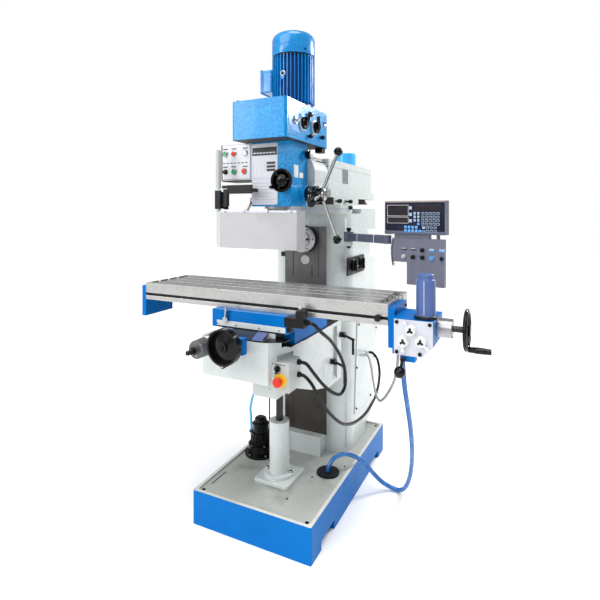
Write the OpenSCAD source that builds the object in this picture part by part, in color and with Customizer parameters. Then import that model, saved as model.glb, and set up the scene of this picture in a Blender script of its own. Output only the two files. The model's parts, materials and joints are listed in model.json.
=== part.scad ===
// Universal milling machine: base, column, knee, saddle, table, turret, ram and swivel head.
// X runs to the operator's right, Y to the rear, Z up; the origin is on the floor at the base's centre.

/* [Base] */
// Base casting: width
base_w = 615; // [600:1:680]
// Base casting: depth
base_d = 1066; // [1050:1:1150]
// Base casting: height to the rim
base_h = 160; // [145:1:180]
// Height of the rim round the chip deck
rim_h = 8; // [4:1:12]
// Width of the rim
rim_w = 16; // [10:1:24]
// Wall of the coolant tank in the base
base_wall = 24; // [16:1:32]
// Radius of the base's upright corners
base_corner_r = 5; // [4:1:24]
// Width of a forklift slot
fork_w = 150; // [110:1:170]
// Height of a forklift slot
fork_h = 42; // [30:1:55]
// Distance of a forklift slot from the middle
fork_y = 350; // [330:1:380]
// Radius of an anchor hole
anchor_r = 9; // [6:0.5:12]
// Distance of the anchor holes from the edges
anchor_inset = 36; // [30:1:45]

/* [Column] */
// Half width of the column
column_half_w = 236; // [225:1:250]
// Height of the column above the deck
column_h = 1310; // [1305:1:1330]
// Wall of the column casting
column_wall = 20; // [16:1:32]
// Radius of the column's front corners
column_corner_r = 100; // [90:1:110]
// Half width of the knee way
way_half_w = 128; // [122:1:134]
// Depth of the knee way in front of the column
way_depth = 35; // [25:1:40]
// Radius of the horizontal spindle
arbor_spindle_r = 40; // [34:1:46]
// Radius of the horizontal spindle's ring
spindle_ring_r = 75; // [60:1:76]

/* [Knee] */
// Distance of the knee's ledge below the column's top, at mid travel
knee_drop = 574; // [566:1:580]
// Half width of the knee
knee_half_w = 202; // [196:1:210]
// Length of the knee in front of the way
knee_l = 657; // [640:1:670]
// Wall of the knee
knee_wall = 20; // [18:1:30]
// Half width of the saddle way
rail_half_w = 140; // [134:1:144]
// Height of the saddle way
rail_h = 60; // [56:1:66]
// Radius of the elevating screw
elevating_r = 17.5; // [14:0.5:20]
// Radius of the screws and shafts at the handwheels
shaft_r = 12; // [10:0.5:13]
// Radius of the cross handwheel
cross_wheel_r = 76; // [68:0.5:84]

/* [Saddle and table] */
// Half width of the saddle
saddle_half_w = 193; // [188:1:200]
// Height of the saddle
saddle_h = 80; // [76:1:90]
// Length of the table
table_l = 1260; // [1200:1:1300]
// Width of the table
table_w = 320; // [300:1:330]
// Thickness of the table
table_h = 85; // [78:1:95]
// Width of a T-slot's throat
tslot_w = 14; // [12:1:18]
// Distance between T-slots
tslot_pitch = 70; // [60:1:80]
// Radius of the table crank wheel
crank_r = 80; // [70:1:85]

/* [Turret, ram and head] */
// Radius of the graduated turret ring
turret_r = 205; // [195:1:215]
// Height of the turret
turret_h = 89; // [85:1:95]
// Half width of the ram
ram_half_w = 150; // [145:1:155]
// Height of the ram above its ledge
ram_h = 164; // [155:1:170]
// Length of the ram
ram_l = 931; // [880:1:960]
// Width of the head housing
head_w = 218; // [212:1:230]
// Depth of the head housing
head_d = 184; // [180:1:190]
// Height of the head gearbox
gearbox_h = 183; // [160:1:200]
// Radius of the head motor over its fins
motor_r = 113; // [105:1:118]
// Height of the head motor
motor_h = 416; // [390:1:440]
// Radius of the quill
quill_r = 52; // [48:0.5:54]
// Radius of a black lever ball
ball_r = 23; // [16:0.5:24]

/* [Hidden] */
$fn = 48;
// Overrun of every cut, radial running fit and gap between faces of different bodies
over = 2;
fit = 0.05;
air = 0.4;

// Datum planes, each one standing on the one before
deck_z = base_h - rim_h;
column_z = deck_z + column_h;
knee_z = column_z - knee_drop;
saddle_z = knee_z + rail_h;
table_z = saddle_z + saddle_h;
turret_z = column_z + turret_h;
ledge_h = 45;
pivot_z = turret_z + 104;
way_y = 57;
column_y = way_y + way_depth;
turret_y = 220;
ram_y = -146;
table_x = -6;
table_y = -340;
feed_y = -435;
quill_y = -116;
arbor_drop = 140;
arbor_z = column_z - arbor_drop;
arm_drop = 122;
arm_z = column_z - arm_drop;
knee_front = way_y - knee_l;
cross_z = knee_z + 33;
crank_x = -150;
right_x = table_x + table_l / 2;
left_x = table_x - table_l / 2;
bracket_t = 26;
feed_x = right_x + bracket_t;

// Pins and bores that several pieces share
pin_r = 8;
small_pin_r = 6;
dial_pin_r = 5;
drawbar_r = 8.5;
gland_r = 13;

// Column: side outline as [y, share of the height], foot block, rear block, readout bracket
column_side = [[398, 0], [394, 0.036], [520, 0.058], [596, 0.311], [628, 0.445], [607, 0.779],
  [492, 0.805], [487, 0.863], [432, 0.933]];
column_top_y = 432;
column_hollow_y = 125;
way_slope = 0.6;
foot_half_w = 108;
foot_front = 13;
foot_h = 103;
way_end_h = 70;
rear_block_y = [430, 718];
rear_block_z = [-103, 28];
rear_block_inset = 36;
ring_l = 32;
arm_bracket_x = [180, 276];
arm_bracket_y = [58, 190];
arm_bracket_low = 172;
arm_pin_l = 50;
opening_y = [270, 560];
opening_share = [0.16, 0.489];
selector_y = [150, 275];
selector_low = 284;
selector_plate = [8, 280, 95];
selector_plate_y = 75;
selector_plate_low = 335;
coolant_gland_y = 170;
coolant_gland_z = deck_z + column_h * 0.273;
gland_l = 26;

// Side cover: outline as [y, share of the column's height], glands as [y, share]
cover_t = 6;
cover_outline = [[198, 0.1405], [492, 0.128], [575, 0.311], [618, 0.445], [600, 0.533], [242, 0.528]];
cover_glands = [[381, 0.371], [298, 0.377]];
cover_gland_l = 24;

// Pedestal and elevating screw, on the axis elevating_y
elevating_out = 300;
elevating_y = way_y - elevating_out;
pedestal_share = 0.386;
pedestal_h = (knee_z - deck_z) * pedestal_share;
pedestal_plate = [185, 190, 18];
pedestal_plate_r = 12;
pedestal_flange = [34, 76];
pedestal_r = 50;
pedestal_hollow_r = 30;
nut_l = 58;
screw_end = 598;
screw_l = 563;
screw_flange = [22, 46];
screw_flange_low = 289;

// Coolant pump: [height, radius] of each step, and its outlet
pump_inset = 103.5;
pump_x = pump_inset - base_w / 2;
pump_y = -85;
pump_steps = [[12, 86], [55, 67], [115, 50], [165, 42], [190, 32], [198, 20]];
pump_outlet = [-60, 100, 112];
pump_outlet_r = 11;

// Spindle tapers and noses
arbor_nose = 38;
arbor_l = 150;
taper = [[0, -over], [22.5, -over], [22.2, 0], [13, 65], [0, 65]];
quill_low = 225;
quill_l = 330;
spindle_l = 460;
spindle_nose_l = 30;
spindle_nose_r = 44;
spindle_r = 30;

// Speed selectors: [length, radius] of the knob, size of its bar, length of its pin
selector_knob = [16, 34];
selector_bar = [60, 12, 14];
selector_pin_l = 26;

// Knee: lower edge as [y, z from the ledge], hollow, box round the screw, front block, bosses
knee_low = 313;
knee_edge = [[-600, -142], [-422, -204], [-263, -264], [-151, -293], [-100, -313]];
knee_back_gap = 6;
knee_roof = 30;
screw_box_half_w = 66;
screw_box_y = [-390, -100];
screw_box_low = 289;
screw_box_wall = 12;
block_l = 80;
block_h = 34;
rail_front = 64;
crank_boss = [48, 55, 44];
chamfer_x = rail_half_w;
chamfer_y = -375;
channel_half_w = 30;
channel_low = 10;
bearing = [70, 30, 70];
bearing_low = 55;
bearing_bore_l = 60;
lock_places = [[-60, -186, 90], [70, -78, 80]];
lock_pin_l = 18;
lock_boss = [30, 15];
lock_bend = [62, 34, -30];
lock_rod_r = 7;
lock_knee_r = 9;
knee_crank_in = 65;
knee_crank_bore = 72;
knee_crank_l = 215;
knee_crank_rings = [[67, 90, 42], [90, 120, 40], [120, 173, 39], [173, 190, 18]];
knee_crank_square = 16;
knee_crank_end = [189, 231];

// Operator's box on the knee
panel_at = [118, -560, -176];
panel_size = [100, 107, 126];
panel_glands_z = [-66, -120];
panel_gland_y = -474;
panel_gland = [12, 12];
switch_at = [165, -78];
stop_at = [178, -126];
stop_ring = [6, 30];
stop_stem = [40, 10];
stop_head = [18, 20];
stop_in = 15;
stop_head_z = 34;
switch_stem = [20, 5];
switch_disc = [8, 14];
switch_disc_z = 16;
switch_bar = [8, 26, 10];

// Cross feed: a dished wheel as [radius, distance towards the operator], its lug and dial
cross_wheel_y = -715;
cross_screw_l = 600;
cross_dish = [[0, -20], [20, -20], [20, -6], [cross_wheel_r - 16, -14], [cross_wheel_r, -14],
  [cross_wheel_r, 16], [cross_wheel_r - 8, 16], [cross_wheel_r - 10, -4], [22, 6], [22, 20], [0, 20]];
cross_lug = [28, 10];
cross_dial = [46, 36];
cross_dial_y = 20.1;

// Saddle: front and rear, skirts, nuts, dovetail as [y, z above its top], clamp bore
saddle_y = [-536, -130];
skirt_y = [-456, -90];
skirt_share = 0.333;
cross_nut_half_w = 28;
cross_nut_y = [-380, -300];
cross_nut_low = 50;
dovetail_y = [-390, -270];
dovetail_h = 25;
dovetail_flare = 15;
tail_mid = (dovetail_y[0] + dovetail_y[1]) / 2;
tail_half = (dovetail_y[1] - dovetail_y[0]) / 2;
feed_groove = [22, 20];
feed_nut = [70, 34, 40];
feed_nut_low = 24;
saddle_lock_x = -113;
saddle_lock_pin_l = 30;
saddle_lock_boss = [14, 13];
saddle_lock_z = 40;
saddle_lock_tip = [8, 60, 36];

// Limit switch on the saddle's right side: plate, box, head and gland
switch_x = saddle_half_w + 2;
switch_plate = [[-1, -530, 12], [15, -500, 43]];
switch_box = [[0, -560, 43], [89, -520, 81]];
switch_head = [[55, -561, 81], [89, -519, 114]];
switch_gland = [89, -528, 62];

// Table: T-slot depths, stop groove, troughs, end brackets
tslot_depth = 16;
tslot_foot = [27, 12];
table_groove = [24, 20];
stop_groove = [22, 34, 10];
trough = [46, 12, 20, 22];
stop_dog = [12, 14];
stop_dog_in = 40;
stop_dog_z = 28;
bracket_y = [-500, -300];
bracket_z = [-85, 70];
drain_fitting = [14, -320, -130];
drain_fitting_l = 46;

// Power feed, from the gearbox's lower left front corner
feed_size = [153, 210, 135];
feed_low = -95;
feed_front = -540;
feed_chamfer = 40;
feed_foot = [30, 0, -24];
feed_foot_size = [57, 40, 26];
plate_t = 4;
feed_plate = [[8, -95], [113, -95], [153, -55], [153, 40], [8, 40]];
dials = [[72, 3], [45, -41], [110, -36]];
dial_turn = [125, -90, -40];
dial_pin_l = 24;
dial_knob = [16, 18];
dial_arm = [34, 0, 14];
dial_arm_r = 3.5;
dial_arm_z = 10;
dial_ball_r = 6;
engage_at = [44, -107];
engage_pin = [-4, 26];
engage_boss = [-14, 10];
engage_tip = [-10, -14, -49];
engage_ball_r = 22;
feed_motor_at = [116, -480, 40];
feed_motor_steps = [[12, 44], [150, 36], [170, 30]];
lead_screw_out = [32, 274];
crank_out = 260;
crank_hub_l = 28;
crank_rim = 8;
crank_handle = [86, 11];
crank_dial_out = 154;
crank_dial = [54, 37];

// Turret and ram: dovetail as [half width at the top, at the foot, depth]
ring_h = 50;
turret_block = [370, 400];
ram_tail = [100, 120, 31];
turret_bolts_y = [43, 208];
turret_bolt = [24, 9];
turret_bolt_x = 186;
turret_bolt_z = 69;
ram_ledge_out = [14, 15];
ram_front_r = 152;
ram_front_l = 180;
ram_hollow = [20, 60];
ram_channel_half_w = 80;
ram_motor_in = 85;
ram_motor_steps = [[12, 80], [105, 65]];

// Head, from the swivel axis at the ram's front
head_half_w = head_w / 2;
head_low = -155;
head_top = 157;
quill_boss = [11, 64];
hub_at = [-54, -97];
hub_boss = [30, 46];
hub_pin_r = 14;
side_boss = [-30, 105];
side_boss_size = [10, 24];
fine_at = [79, -34];
lock_at = [-150, -125];
guard_at = [-258, -254, -84];
guard_arm = [[-200, -264, -94], [-64, -246, -52]];
guard_arm_foot = [[-100, -248, -84], [-72, -184, -68]];
guard_hinge = [16, 16];
guard_hinge_tail = [60, 18];
gearbox_size = [292, 477];
gearbox_y = -64.5;
gearbox_r = 14;
gearbox_wall = 16;
gear_lever_y = [-132, 7];
gear_lever_z = 244;
gear_lever_x = 124;
gear_lever_pin_l = 20;
motor_y = 57;
motor_rib = 11;
motor_flange_h = 30;
fan_cover_z = 288;
fan_dome = [33, 85];
terminal_box = [[-157, -24, 440], [-90, 76, 567]];

// Quill lever: hub, cap, reach of the three arms; fine feed wheel; clamp; gear levers
lever_hub = [28, 80, 44];
lever_cap = [80, 112, 34];
lever_shaft = [-24, 116];
lever_turns = [67, -71, 190];
lever_root = [98, 0, 0];
lever_tip = [152, 235, 0];
lever_rod_r = 8;
fine_pin_in = 24;
fine_shaft_l = 74;
fine_collar = [20, 26];
fine_dish = [[0, -8], [48, -8], [56, -4], [56, 4], [48, 8], [0, 8]];
fine_dish_z = 64;
fine_handle = [-44, 50];
quill_lock_pin = [18, -20];
quill_lock_boss = [-24, 13];
quill_lock_rod = [[-16, 0, 0], [-38, -20, -56]];
gear_lever_boss = [18, 30];
gear_lever_rod = [[24, 0, 0], [30, 0, 54]];
gear_lever_hub = [[17, 0, 0], [30, 0, 0]];
gear_lever_hub_r = 12;

// Control box, its buttons as [x, z], chip guard
control_at = [-290, -184, -24];
control_size = [181, 140, 181];
control_wall = 4;
buttons = [[-262, 110], [-211, 110], [-144, 110], [-209, 20], [-150, 20]];
button_r = 12;
button_stem = [24, 8];
button_head_l = 8;
guard_post = [-90, 214];
guard_collar = [-180, 96, 12];
guard_low = -355;
guard_h = 178;
guard_outline = [[-272, -250], [-230, -276], [185, -276], [207, -234], [203, -232], [182, -272],
  [-229, -272], [-269, -247]];

// Readout: arm joints as [x, y], display, hanging panel; its turn about the post
arm_route = [[250, 75], [335, 10], [436, -40], [505, -84]];
arm_r = 19;
arm_knuckle = [52, 26];
arm_bend = [40, 20];
unit_at = [640, -95, 0];
unit_turn = -13;
display = [[-141, -30, 30], [300, 42, 155]];
display_foot = [[-150, -12, 26], [34, 24, 10]];
hanging_panel = [[-104, -26, -205], [254, 26, 215]];
panel_notch = [[-121, -27, -210], [92, 40, 108]];
panel_posts_x = [-70, 120];
panel_post = [-14, 5, 30];

// Routes of the hoses and conduits, laid by hand; led() ties both ends to their glands
drain_route = [[206, -108, 160], [209, -105, 186], [229, -82, 219], [262, -44, 229], [290, -12, 217],
  [322, 22, 190], [352, 54, 152], [385, 84, 96], [424, 112, 46], [465, 134, 18], [508, 132, 15],
  [545, 104, 52], [575, 66, 120], [598, 18, 210], [620, -60, 334], [633, -150, 480], [638, -230, 610],
  [638, -290, 730], [638, -318, 830], [638, -320, 866], [638, -320, 900]];
saddle_route = [[296, -528, 1010], [318, -526, 1004], [338, -490, 965], [347, -420, 918],
  [354, -345, 850], [359, -292, 780], [360, -268, 715], [356, -268, 665], [346, -300, 642],
  [328, -350, 665], [306, -405, 715], [282, -450, 775], [258, -472, 817], [230, -474, 822]];
knee_route = [[230, -474, 768], [254, -474, 762], [286, -470, 728], [308, -450, 668], [328, -410, 608],
  [344, -350, 548], [354, -280, 500], [360, -180, 462], [360, -80, 440], [360, 20, 430],
  [358, 115, 434], [354, 213, 448], [348, 290, 480], [338, 352, 535], [318, 378, 600],
  [290, 381, 634], [266, 381, 638]];
feed_route = [[266, 298, 646], [288, 296, 640], [312, 262, 615], [345, 190, 585], [385, 90, 562],
  [430, -20, 556], [480, -130, 575], [530, -235, 630], [578, -325, 700], [622, -400, 780],
  [648, -452, 858], [655, -468, 900], [655, -470, 935]];
coolant_route = [[-264, -85, 264], [-265, -85, 292], [-270, -82, 336], [-276, -76, 384], [-272, -64, 430],
  [-266, -46, 474], [-272, -10, 504], [-292, 30, 520], [-312, 70, 522], [-320, 106, 518],
  [-316, 134, 514], [-303, 155, 511], [-284, 167, 510], [-262, 170, 510]];
drain_d = 22;
conduit_d = 15;
feed_cable_d = 12;
coolant_d = 15;
grommet_r = 57;
grommet_h = 8;

// A box between two opposite corners
module span(a, b) { translate(a) cube(b - a); }

// A cylinder from one point to another
module rod(a, b, r) {
  v = b - a;
  translate(a) rotate([0, acos(v[2] / norm(v)), atan2(v[1], v[0])]) cylinder(h = norm(v), r = r);
}

// Cylinders that stand in one another, each given as [height, radius]
module stack(steps) { for (s = steps) cylinder(h = s[0], r = s[1]); }

// Cylinders along Z, each given as [bottom, top, radius]
module rings(steps) { for (s = steps) translate([0, 0, s[0]]) cylinder(h = s[1] - s[0], r = s[2]); }

// A plate with round corners, standing on the plane z = 0
module round_plate(w, d, h, r) {
  linear_extrude(height = h) {
    square([w - 2 * r, d], center = true);
    square([w, d - 2 * r], center = true);
    for (x = [r - w / 2, w / 2 - r], y = [r - d / 2, d / 2 - r]) translate([x, y]) circle(r = r);
  }
}

// A prism along X over an outline in Y and Z
module along_x(outline, x0, x1) {
  translate([x0, 0, 0]) rotate([90, 0, 90]) linear_extrude(height = x1 - x0) polygon(outline);
}

// A dovetail's section, its flanks drawn on past the top by the overrun; more is the clearance
function dovetail(top, foot, depth, more) = let (s = (foot - top) / depth)
  [[-top - more + s * over, over], [-foot - more - s * more, -depth - more],
    [foot + more + s * more, -depth - more], [top + more - s * over, over]];

// A route moved so that it starts at a and ends at b
function led(p, a, b) = let (n = len(p) - 1)
  [for (i = [0 : n]) p[i] + (a - p[0]) * (n - i) / n + (b - p[n]) * i / n];

// A tube swept along a route; its end faces stand square to the directions out and into
function unit(v) = v / norm(v);
function heading(p, i, out, into) = i == 0 ? out : i == len(p) - 1 ? into : unit(p[i + 1] - p[i - 1]);
function side_of(p, i, first, out, into) = let (h = heading(p, i, out, into),
  s = i == 0 ? first : side_of(p, i - 1, first, out, into)) unit(s - (s * h) * h);
module swept(p, d, first, out, into, sides = 8) {
  rings = [for (i = [0 : len(p) - 1])
    let (h = heading(p, i, out, into), s = side_of(p, i, first, out, into), t = cross(h, s))
    for (k = [0 : sides - 1]) p[i] + d / 2 * (cos(360 * k / sides) * s + sin(360 * k / sides) * t)];
  walls = [for (i = [0 : len(p) - 2], k = [0 : sides - 1])
    [i * sides + k, (i + 1) * sides + k, (i + 1) * sides + (k + 1) % sides, i * sides + (k + 1) % sides]];
  first_cap = [[for (k = [0 : sides - 1]) k]];
  last_cap = [[for (k = [sides - 1 : -1 : 0]) (len(p) - 1) * sides + k]];
  polyhedron(points = rings, faces = concat(walls, first_cap, last_cap));
}

// Base: a chip deck with a rim, forklift slots and a coolant tank inside
module base() {
  color("dodgerblue") difference() {
    round_plate(base_w, base_d, base_h, base_corner_r);
    translate([0, 0, deck_z]) round_plate(base_w - 2 * rim_w, base_d - 2 * rim_w, base_h, rim_w);
    for (s = [-1, 1]) translate([0, s * fork_y, fork_h / 2 - over])
      cube([base_w + 2 * over, fork_w, fork_h + 2 * over], center = true);
    translate([0, 0, fork_h + base_wall])
      round_plate(base_w - 5 * base_wall, base_d - 5 * base_wall, deck_z - fork_h - 2 * base_wall, rim_w);
    for (x = [-1, 1], y = [-1, 1])
      translate([x * (base_w / 2 - anchor_inset), y * (base_d / 2 - anchor_inset), -over])
        cylinder(h = base_h, r = anchor_r);
    translate([0, elevating_y, deck_z - base_wall - over]) cylinder(h = base_h, r = elevating_r * 1.6);
  }
  color("dimgray") translate([drain_route[0][0], drain_route[0][1], deck_z])
    cylinder(h = grommet_h, r = grommet_r);
}

// The column's outer form, drawn in by a wall for the hollow
module column_form(inset) {
  side = [for (p = column_side) [p[0], p[1] * column_h]];
  outline = concat([[column_y, 0]], side, [[column_top_y, column_h], [column_y, column_h]]);
  intersection_for (m = [[1, 0], [-1, 0], [0, 1], [0, -1]])
    translate([0, m[0] * inset, m[1] * inset])
      along_x(outline, inset - column_half_w, column_half_w - inset);
}
module column() {
  depth = 3 * column_half_w;
  color("honeydew") translate([0, 0, deck_z]) difference() {
    union() {
      intersection() {
        column_form(0);
        translate([0, column_y + depth / 2, 0])
          round_plate(2 * column_half_w, depth, column_h, column_corner_r);
      }
      translate([0, column_y, foot_h]) linear_extrude(height = column_h - foot_h - way_end_h)
        polygon(dovetail(way_half_w - way_depth * way_slope, way_half_w, way_depth, 0));
      span([-foot_half_w, foot_front, 0], [foot_half_w, column_y + column_corner_r, foot_h]);
      span([rear_block_inset - column_half_w, rear_block_y[0], column_h + rear_block_z[0]],
        [column_half_w - rear_block_inset, rear_block_y[1], column_h + rear_block_z[1]]);
      translate([0, way_y, arbor_z - deck_z]) rotate([90, 0, 0]) cylinder(h = ring_l, r = spindle_ring_r);
      span([arm_bracket_x[0], arm_bracket_y[0], column_h - arm_bracket_low],
        [arm_bracket_x[1], arm_bracket_y[1], arm_z - deck_z - arm_knuckle[0] / 2 - air]);
    }
    difference() {
      column_form(column_wall);
      span([-column_half_w, 0, 0], [column_half_w, column_hollow_y, column_h]);
    }
    translate([0, 0, arbor_z - deck_z]) rotate([-90, 0, 0])
      cylinder(h = 2 * column_y, r = arbor_spindle_r + fit);
    span([column_half_w - column_wall - over, opening_y[0], opening_share[0] * column_h],
      [column_half_w + over, opening_y[1], opening_share[1] * column_h]);
    translate([arm_route[0][0], arm_route[0][1], arm_z - deck_z - arm_pin_l])
      cylinder(h = arm_pin_l, r = pin_r + fit);
    for (y = selector_y) translate([column_half_w - selector_pin_l, y, column_h - selector_low])
      rotate([0, 90, 0]) cylinder(h = 2 * selector_pin_l, r = small_pin_r + fit);
  }
  color("black") translate([column_half_w, selector_plate_y, column_z - selector_plate_low])
    difference() {
      cube(selector_plate);
      for (y = selector_y)
        translate([-over, y - selector_plate_y, selector_plate_low - selector_low]) rotate([0, 90, 0])
          cylinder(h = selector_pin_l, r = small_pin_r + fit);
    }
  color("silver") translate([-column_half_w, coolant_gland_y, coolant_gland_z]) rotate([0, -90, 0])
    cylinder(h = gland_l, r = gland_r);
}

// Cover plate over the column's side opening, with two cable glands
module column_cover() {
  color("honeydew") translate([column_half_w, 0, deck_z]) {
    along_x([for (p = cover_outline) [p[0], p[1] * column_h]], 0, cover_t);
    for (g = cover_glands)
      translate([cover_t, g[0], g[1] * column_h]) rotate([0, 90, 0]) cylinder(h = cover_gland_l, r = gland_r);
  }
}

// Pedestal with the nut of the elevating screw
module screw_pedestal() {
  color("seashell") translate([0, elevating_y, deck_z]) difference() {
    union() {
      round_plate(pedestal_plate[0], pedestal_plate[1], pedestal_plate[2], pedestal_plate_r);
      cylinder(h = pedestal_flange[0], r = pedestal_flange[1]);
      cylinder(h = pedestal_h, r = pedestal_r);
    }
    translate([0, 0, -over]) cylinder(h = pedestal_h - nut_l + over, r = pedestal_hollow_r);
    cylinder(h = pedestal_h + over, r = elevating_r + fit);
  }
}

// Coolant pump over the tank, with its outlet turned up
module coolant_pump() {
  color("black") translate([pump_x, pump_y, deck_z]) {
    stack(pump_steps);
    rod([0, 0, pump_outlet[1]], [pump_outlet[0], 0, pump_outlet[1]], pump_outlet_r);
    rod([pump_outlet[0], 0, pump_outlet[1]], [pump_outlet[0], 0, pump_outlet[2]], pump_outlet_r);
  }
}

module coolant_hose() {
  ends = [[pump_x + pump_outlet[0], pump_y, deck_z + pump_outlet[2]],
    [-column_half_w - gland_l, coolant_gland_y, coolant_gland_z]];
  color("lightblue")
    swept(led(coolant_route, ends[0], ends[1]), coolant_d, [1, 0, 0], [0, 0, 1], [1, 0, 0]);
}
module drain_hose() {
  ends = [[drain_route[0][0], drain_route[0][1], deck_z + grommet_h],
    [right_x + drain_fitting[0], drain_fitting[1], table_z + drain_fitting[2]]];
  color("lightblue")
    swept(led(drain_route, ends[0], ends[1]), drain_d, [1, 0, 0], [0, 0, 1], [0, 0, 1]);
}
function panel_gland_at(k) = [panel_at[0] + panel_size[0] + panel_gland[0], panel_gland_y,
  knee_z + panel_glands_z[k]];
function cover_gland_at(k) = [column_half_w + cover_t + cover_gland_l, cover_glands[k][0],
  deck_z + cover_glands[k][1] * column_h];
module knee_conduit() {
  color("black") swept(led(knee_route, panel_gland_at(1), cover_gland_at(0)), conduit_d, [0, 1, 0],
    [1, 0, 0], [-1, 0, 0]);
}
module feed_conduit() {
  end = [feed_x + dial_ball_r - 1, feed_route[len(feed_route) - 1][1], table_z + feed_low];
  color("gray") swept(led(feed_route, cover_gland_at(1), end), feed_cable_d, [0, 0, 1], [1, 0, 0],
    [0, 0, 1]);
}
module saddle_conduit() {
  start = [switch_x + switch_gland[0] + panel_gland[0], switch_gland[1], saddle_z + switch_gland[2]];
  color("black") swept(led(saddle_route, start, panel_gland_at(0)), conduit_d, [0, 1, 0], [1, 0, 0],
    [-1, 0, 0]);
}

// Horizontal spindle with the taper for an arbor
module horizontal_spindle() {
  color("silver") translate([0, way_y - arbor_nose, arbor_z]) rotate([-90, 0, 0]) difference() {
    cylinder(h = arbor_l, r = arbor_spindle_r);
    rotate_extrude() polygon(taper);
    cylinder(h = arbor_l + over, r = drawbar_r);
  }
}

// A speed selector: a disc, a pointer and a pin in the column's side
module speed_selector(y) {
  color("black") translate([column_half_w + selector_plate[0] + air, y, column_z - selector_low])
    rotate([0, 90, 0]) {
      translate([0, 0, -selector_pin_l]) cylinder(h = selector_pin_l, r = small_pin_r);
      cylinder(h = selector_knob[0], r = selector_knob[1]);
      translate([-selector_bar[0] / 2, -selector_bar[1] / 2, selector_knob[0]]) cube(selector_bar);
    }
}
module upper_speed_selector() { speed_selector(selector_y[0]); }
module lower_speed_selector() { speed_selector(selector_y[1]); }

// Knee: a hollow bracket that rides on the column's way and carries the saddle's way
module knee() {
  back = column_y - knee_back_gap;
  outline = concat([[knee_front, 0]], [for (p = knee_edge) p + [knee_front - knee_edge[0][0], 0]],
    [[back, -knee_low], [back, 0]]);
  color("honeydew") translate([0, 0, knee_z]) difference() {
    union() {
      difference() {
        along_x(outline, -knee_half_w, knee_half_w);
        span([knee_wall - knee_half_w, knee_front + knee_wall, -2 * knee_low],
          [knee_half_w - knee_wall, column_y + over, -knee_roof]);
      }
      difference() {
        span([-screw_box_half_w, screw_box_y[0], -screw_box_low], [screw_box_half_w, screw_box_y[1], -over]);
        span([screw_box_wall - screw_box_half_w, screw_box_y[0] + screw_box_wall,
          screw_box_wall - screw_box_low],
          [screw_box_half_w - screw_box_wall, screw_box_y[1] - screw_box_wall, -knee_roof]);
      }
      span([-rail_half_w, knee_front + rail_front, -over], [rail_half_w, way_y - fit, rail_h]);
      span([-knee_half_w, knee_front, -over], [knee_half_w, knee_front + block_l, block_h]);
      translate([crank_x - crank_boss[0] / 2, knee_front + rim_w, -crank_boss[2] / 2]) cube(crank_boss);
    }
    translate([0, 0, -2 * knee_low]) linear_extrude(height = 3 * knee_low)
      polygon([[chamfer_x, knee_front - over], [knee_half_w + over, knee_front - over],
        [knee_half_w + over, chamfer_y], [knee_half_w, chamfer_y], [chamfer_x, knee_front]]);
    translate([0, column_y, -2 * knee_low]) linear_extrude(height = 3 * knee_low)
      polygon(dovetail(way_half_w - way_depth * way_slope, way_half_w, way_depth, 2 * fit));
    span([-channel_half_w, knee_front - over, channel_low], [channel_half_w, way_y + over, rail_h + over]);
    translate([0, elevating_y, -2 * knee_low]) cylinder(h = 2 * knee_low - knee_roof + rim_w,
      r = elevating_r + fit);
    translate([crank_x, knee_front - over, 0]) rotate([-90, 0, 0])
      cylinder(h = knee_crank_bore, r = shaft_r + fit);
    for (l = lock_places) translate([knee_half_w - lock_boss[0], l[0], l[1]]) rotate([0, 90, 0])
      cylinder(h = 2 * lock_boss[0], r = pin_r + fit);
  }
  color("dodgerblue") translate([0, knee_front, cross_z]) difference() {
    translate([-bearing[0] / 2, -bearing[1], -bearing_low])
      cube([bearing[0], bearing[1] - fit, bearing[2]]);
    translate([0, -bearing_bore_l, 0]) rotate([-90, 0, 0])
      cylinder(h = 2 * bearing_bore_l, r = shaft_r + fit);
  }
}

// Operator's box on the knee's front corner, with glands for two conduits
module knee_panel_box() {
  color("aliceblue") translate([0, 0, knee_z]) difference() {
    union() {
      translate(panel_at) cube(panel_size);
      for (z = panel_glands_z) translate([panel_at[0] + panel_size[0], panel_gland_y, z]) rotate([0, 90, 0])
        cylinder(h = panel_gland[0], r = panel_gland[1]);
    }
    translate([0, 0, -2 * knee_low]) linear_extrude(height = 3 * knee_low)
      polygon([[0, knee_front - air], [chamfer_x + air, knee_front - air],
        [knee_half_w + air, chamfer_y], [0, chamfer_y]]);
    for (p = [[switch_at, switch_stem], [stop_at, stop_stem]])
      translate([p[0][0], panel_at[1] - over, p[0][1]]) rotate([-90, 0, 0])
        cylinder(h = 2 * stop_in, r = p[1][1] + fit);
  }
  color("gold") translate([stop_at[0], panel_at[1], knee_z + stop_at[1]]) rotate([90, 0, 0]) difference() {
    cylinder(h = stop_ring[0], r = stop_ring[1]);
    translate([0, 0, -over]) cylinder(h = stop_ring[0] + 2 * over, r = stop_stem[1] + fit);
  }
}
module emergency_button() {
  color("red") translate([stop_at[0], panel_at[1] + stop_in, knee_z + stop_at[1]]) rotate([90, 0, 0]) {
    cylinder(h = stop_stem[0], r = stop_stem[1]);
    translate([0, 0, stop_head_z]) cylinder(h = stop_head[0], r = stop_head[1]);
  }
}
module panel_switch() {
  color("black") translate([switch_at[0], panel_at[1] + stop_in, knee_z + switch_at[1]])
    rotate([90, 0, 0]) {
      cylinder(h = switch_stem[0], r = switch_stem[1]);
      translate([0, 0, switch_disc_z]) cylinder(h = switch_disc[0], r = switch_disc[1]);
      translate([-switch_bar[0] / 2, -switch_bar[1] / 2, switch_disc_z + switch_disc[0]]) cube(switch_bar);
    }
}

module elevating_screw() {
  color("silver") translate([0, elevating_y, knee_z]) {
    translate([0, 0, -screw_end]) cylinder(h = screw_l, r = elevating_r);
    translate([0, 0, -screw_flange_low + screw_box_wall + air])
      cylinder(h = screw_flange[0], r = screw_flange[1]);
  }
}

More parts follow.
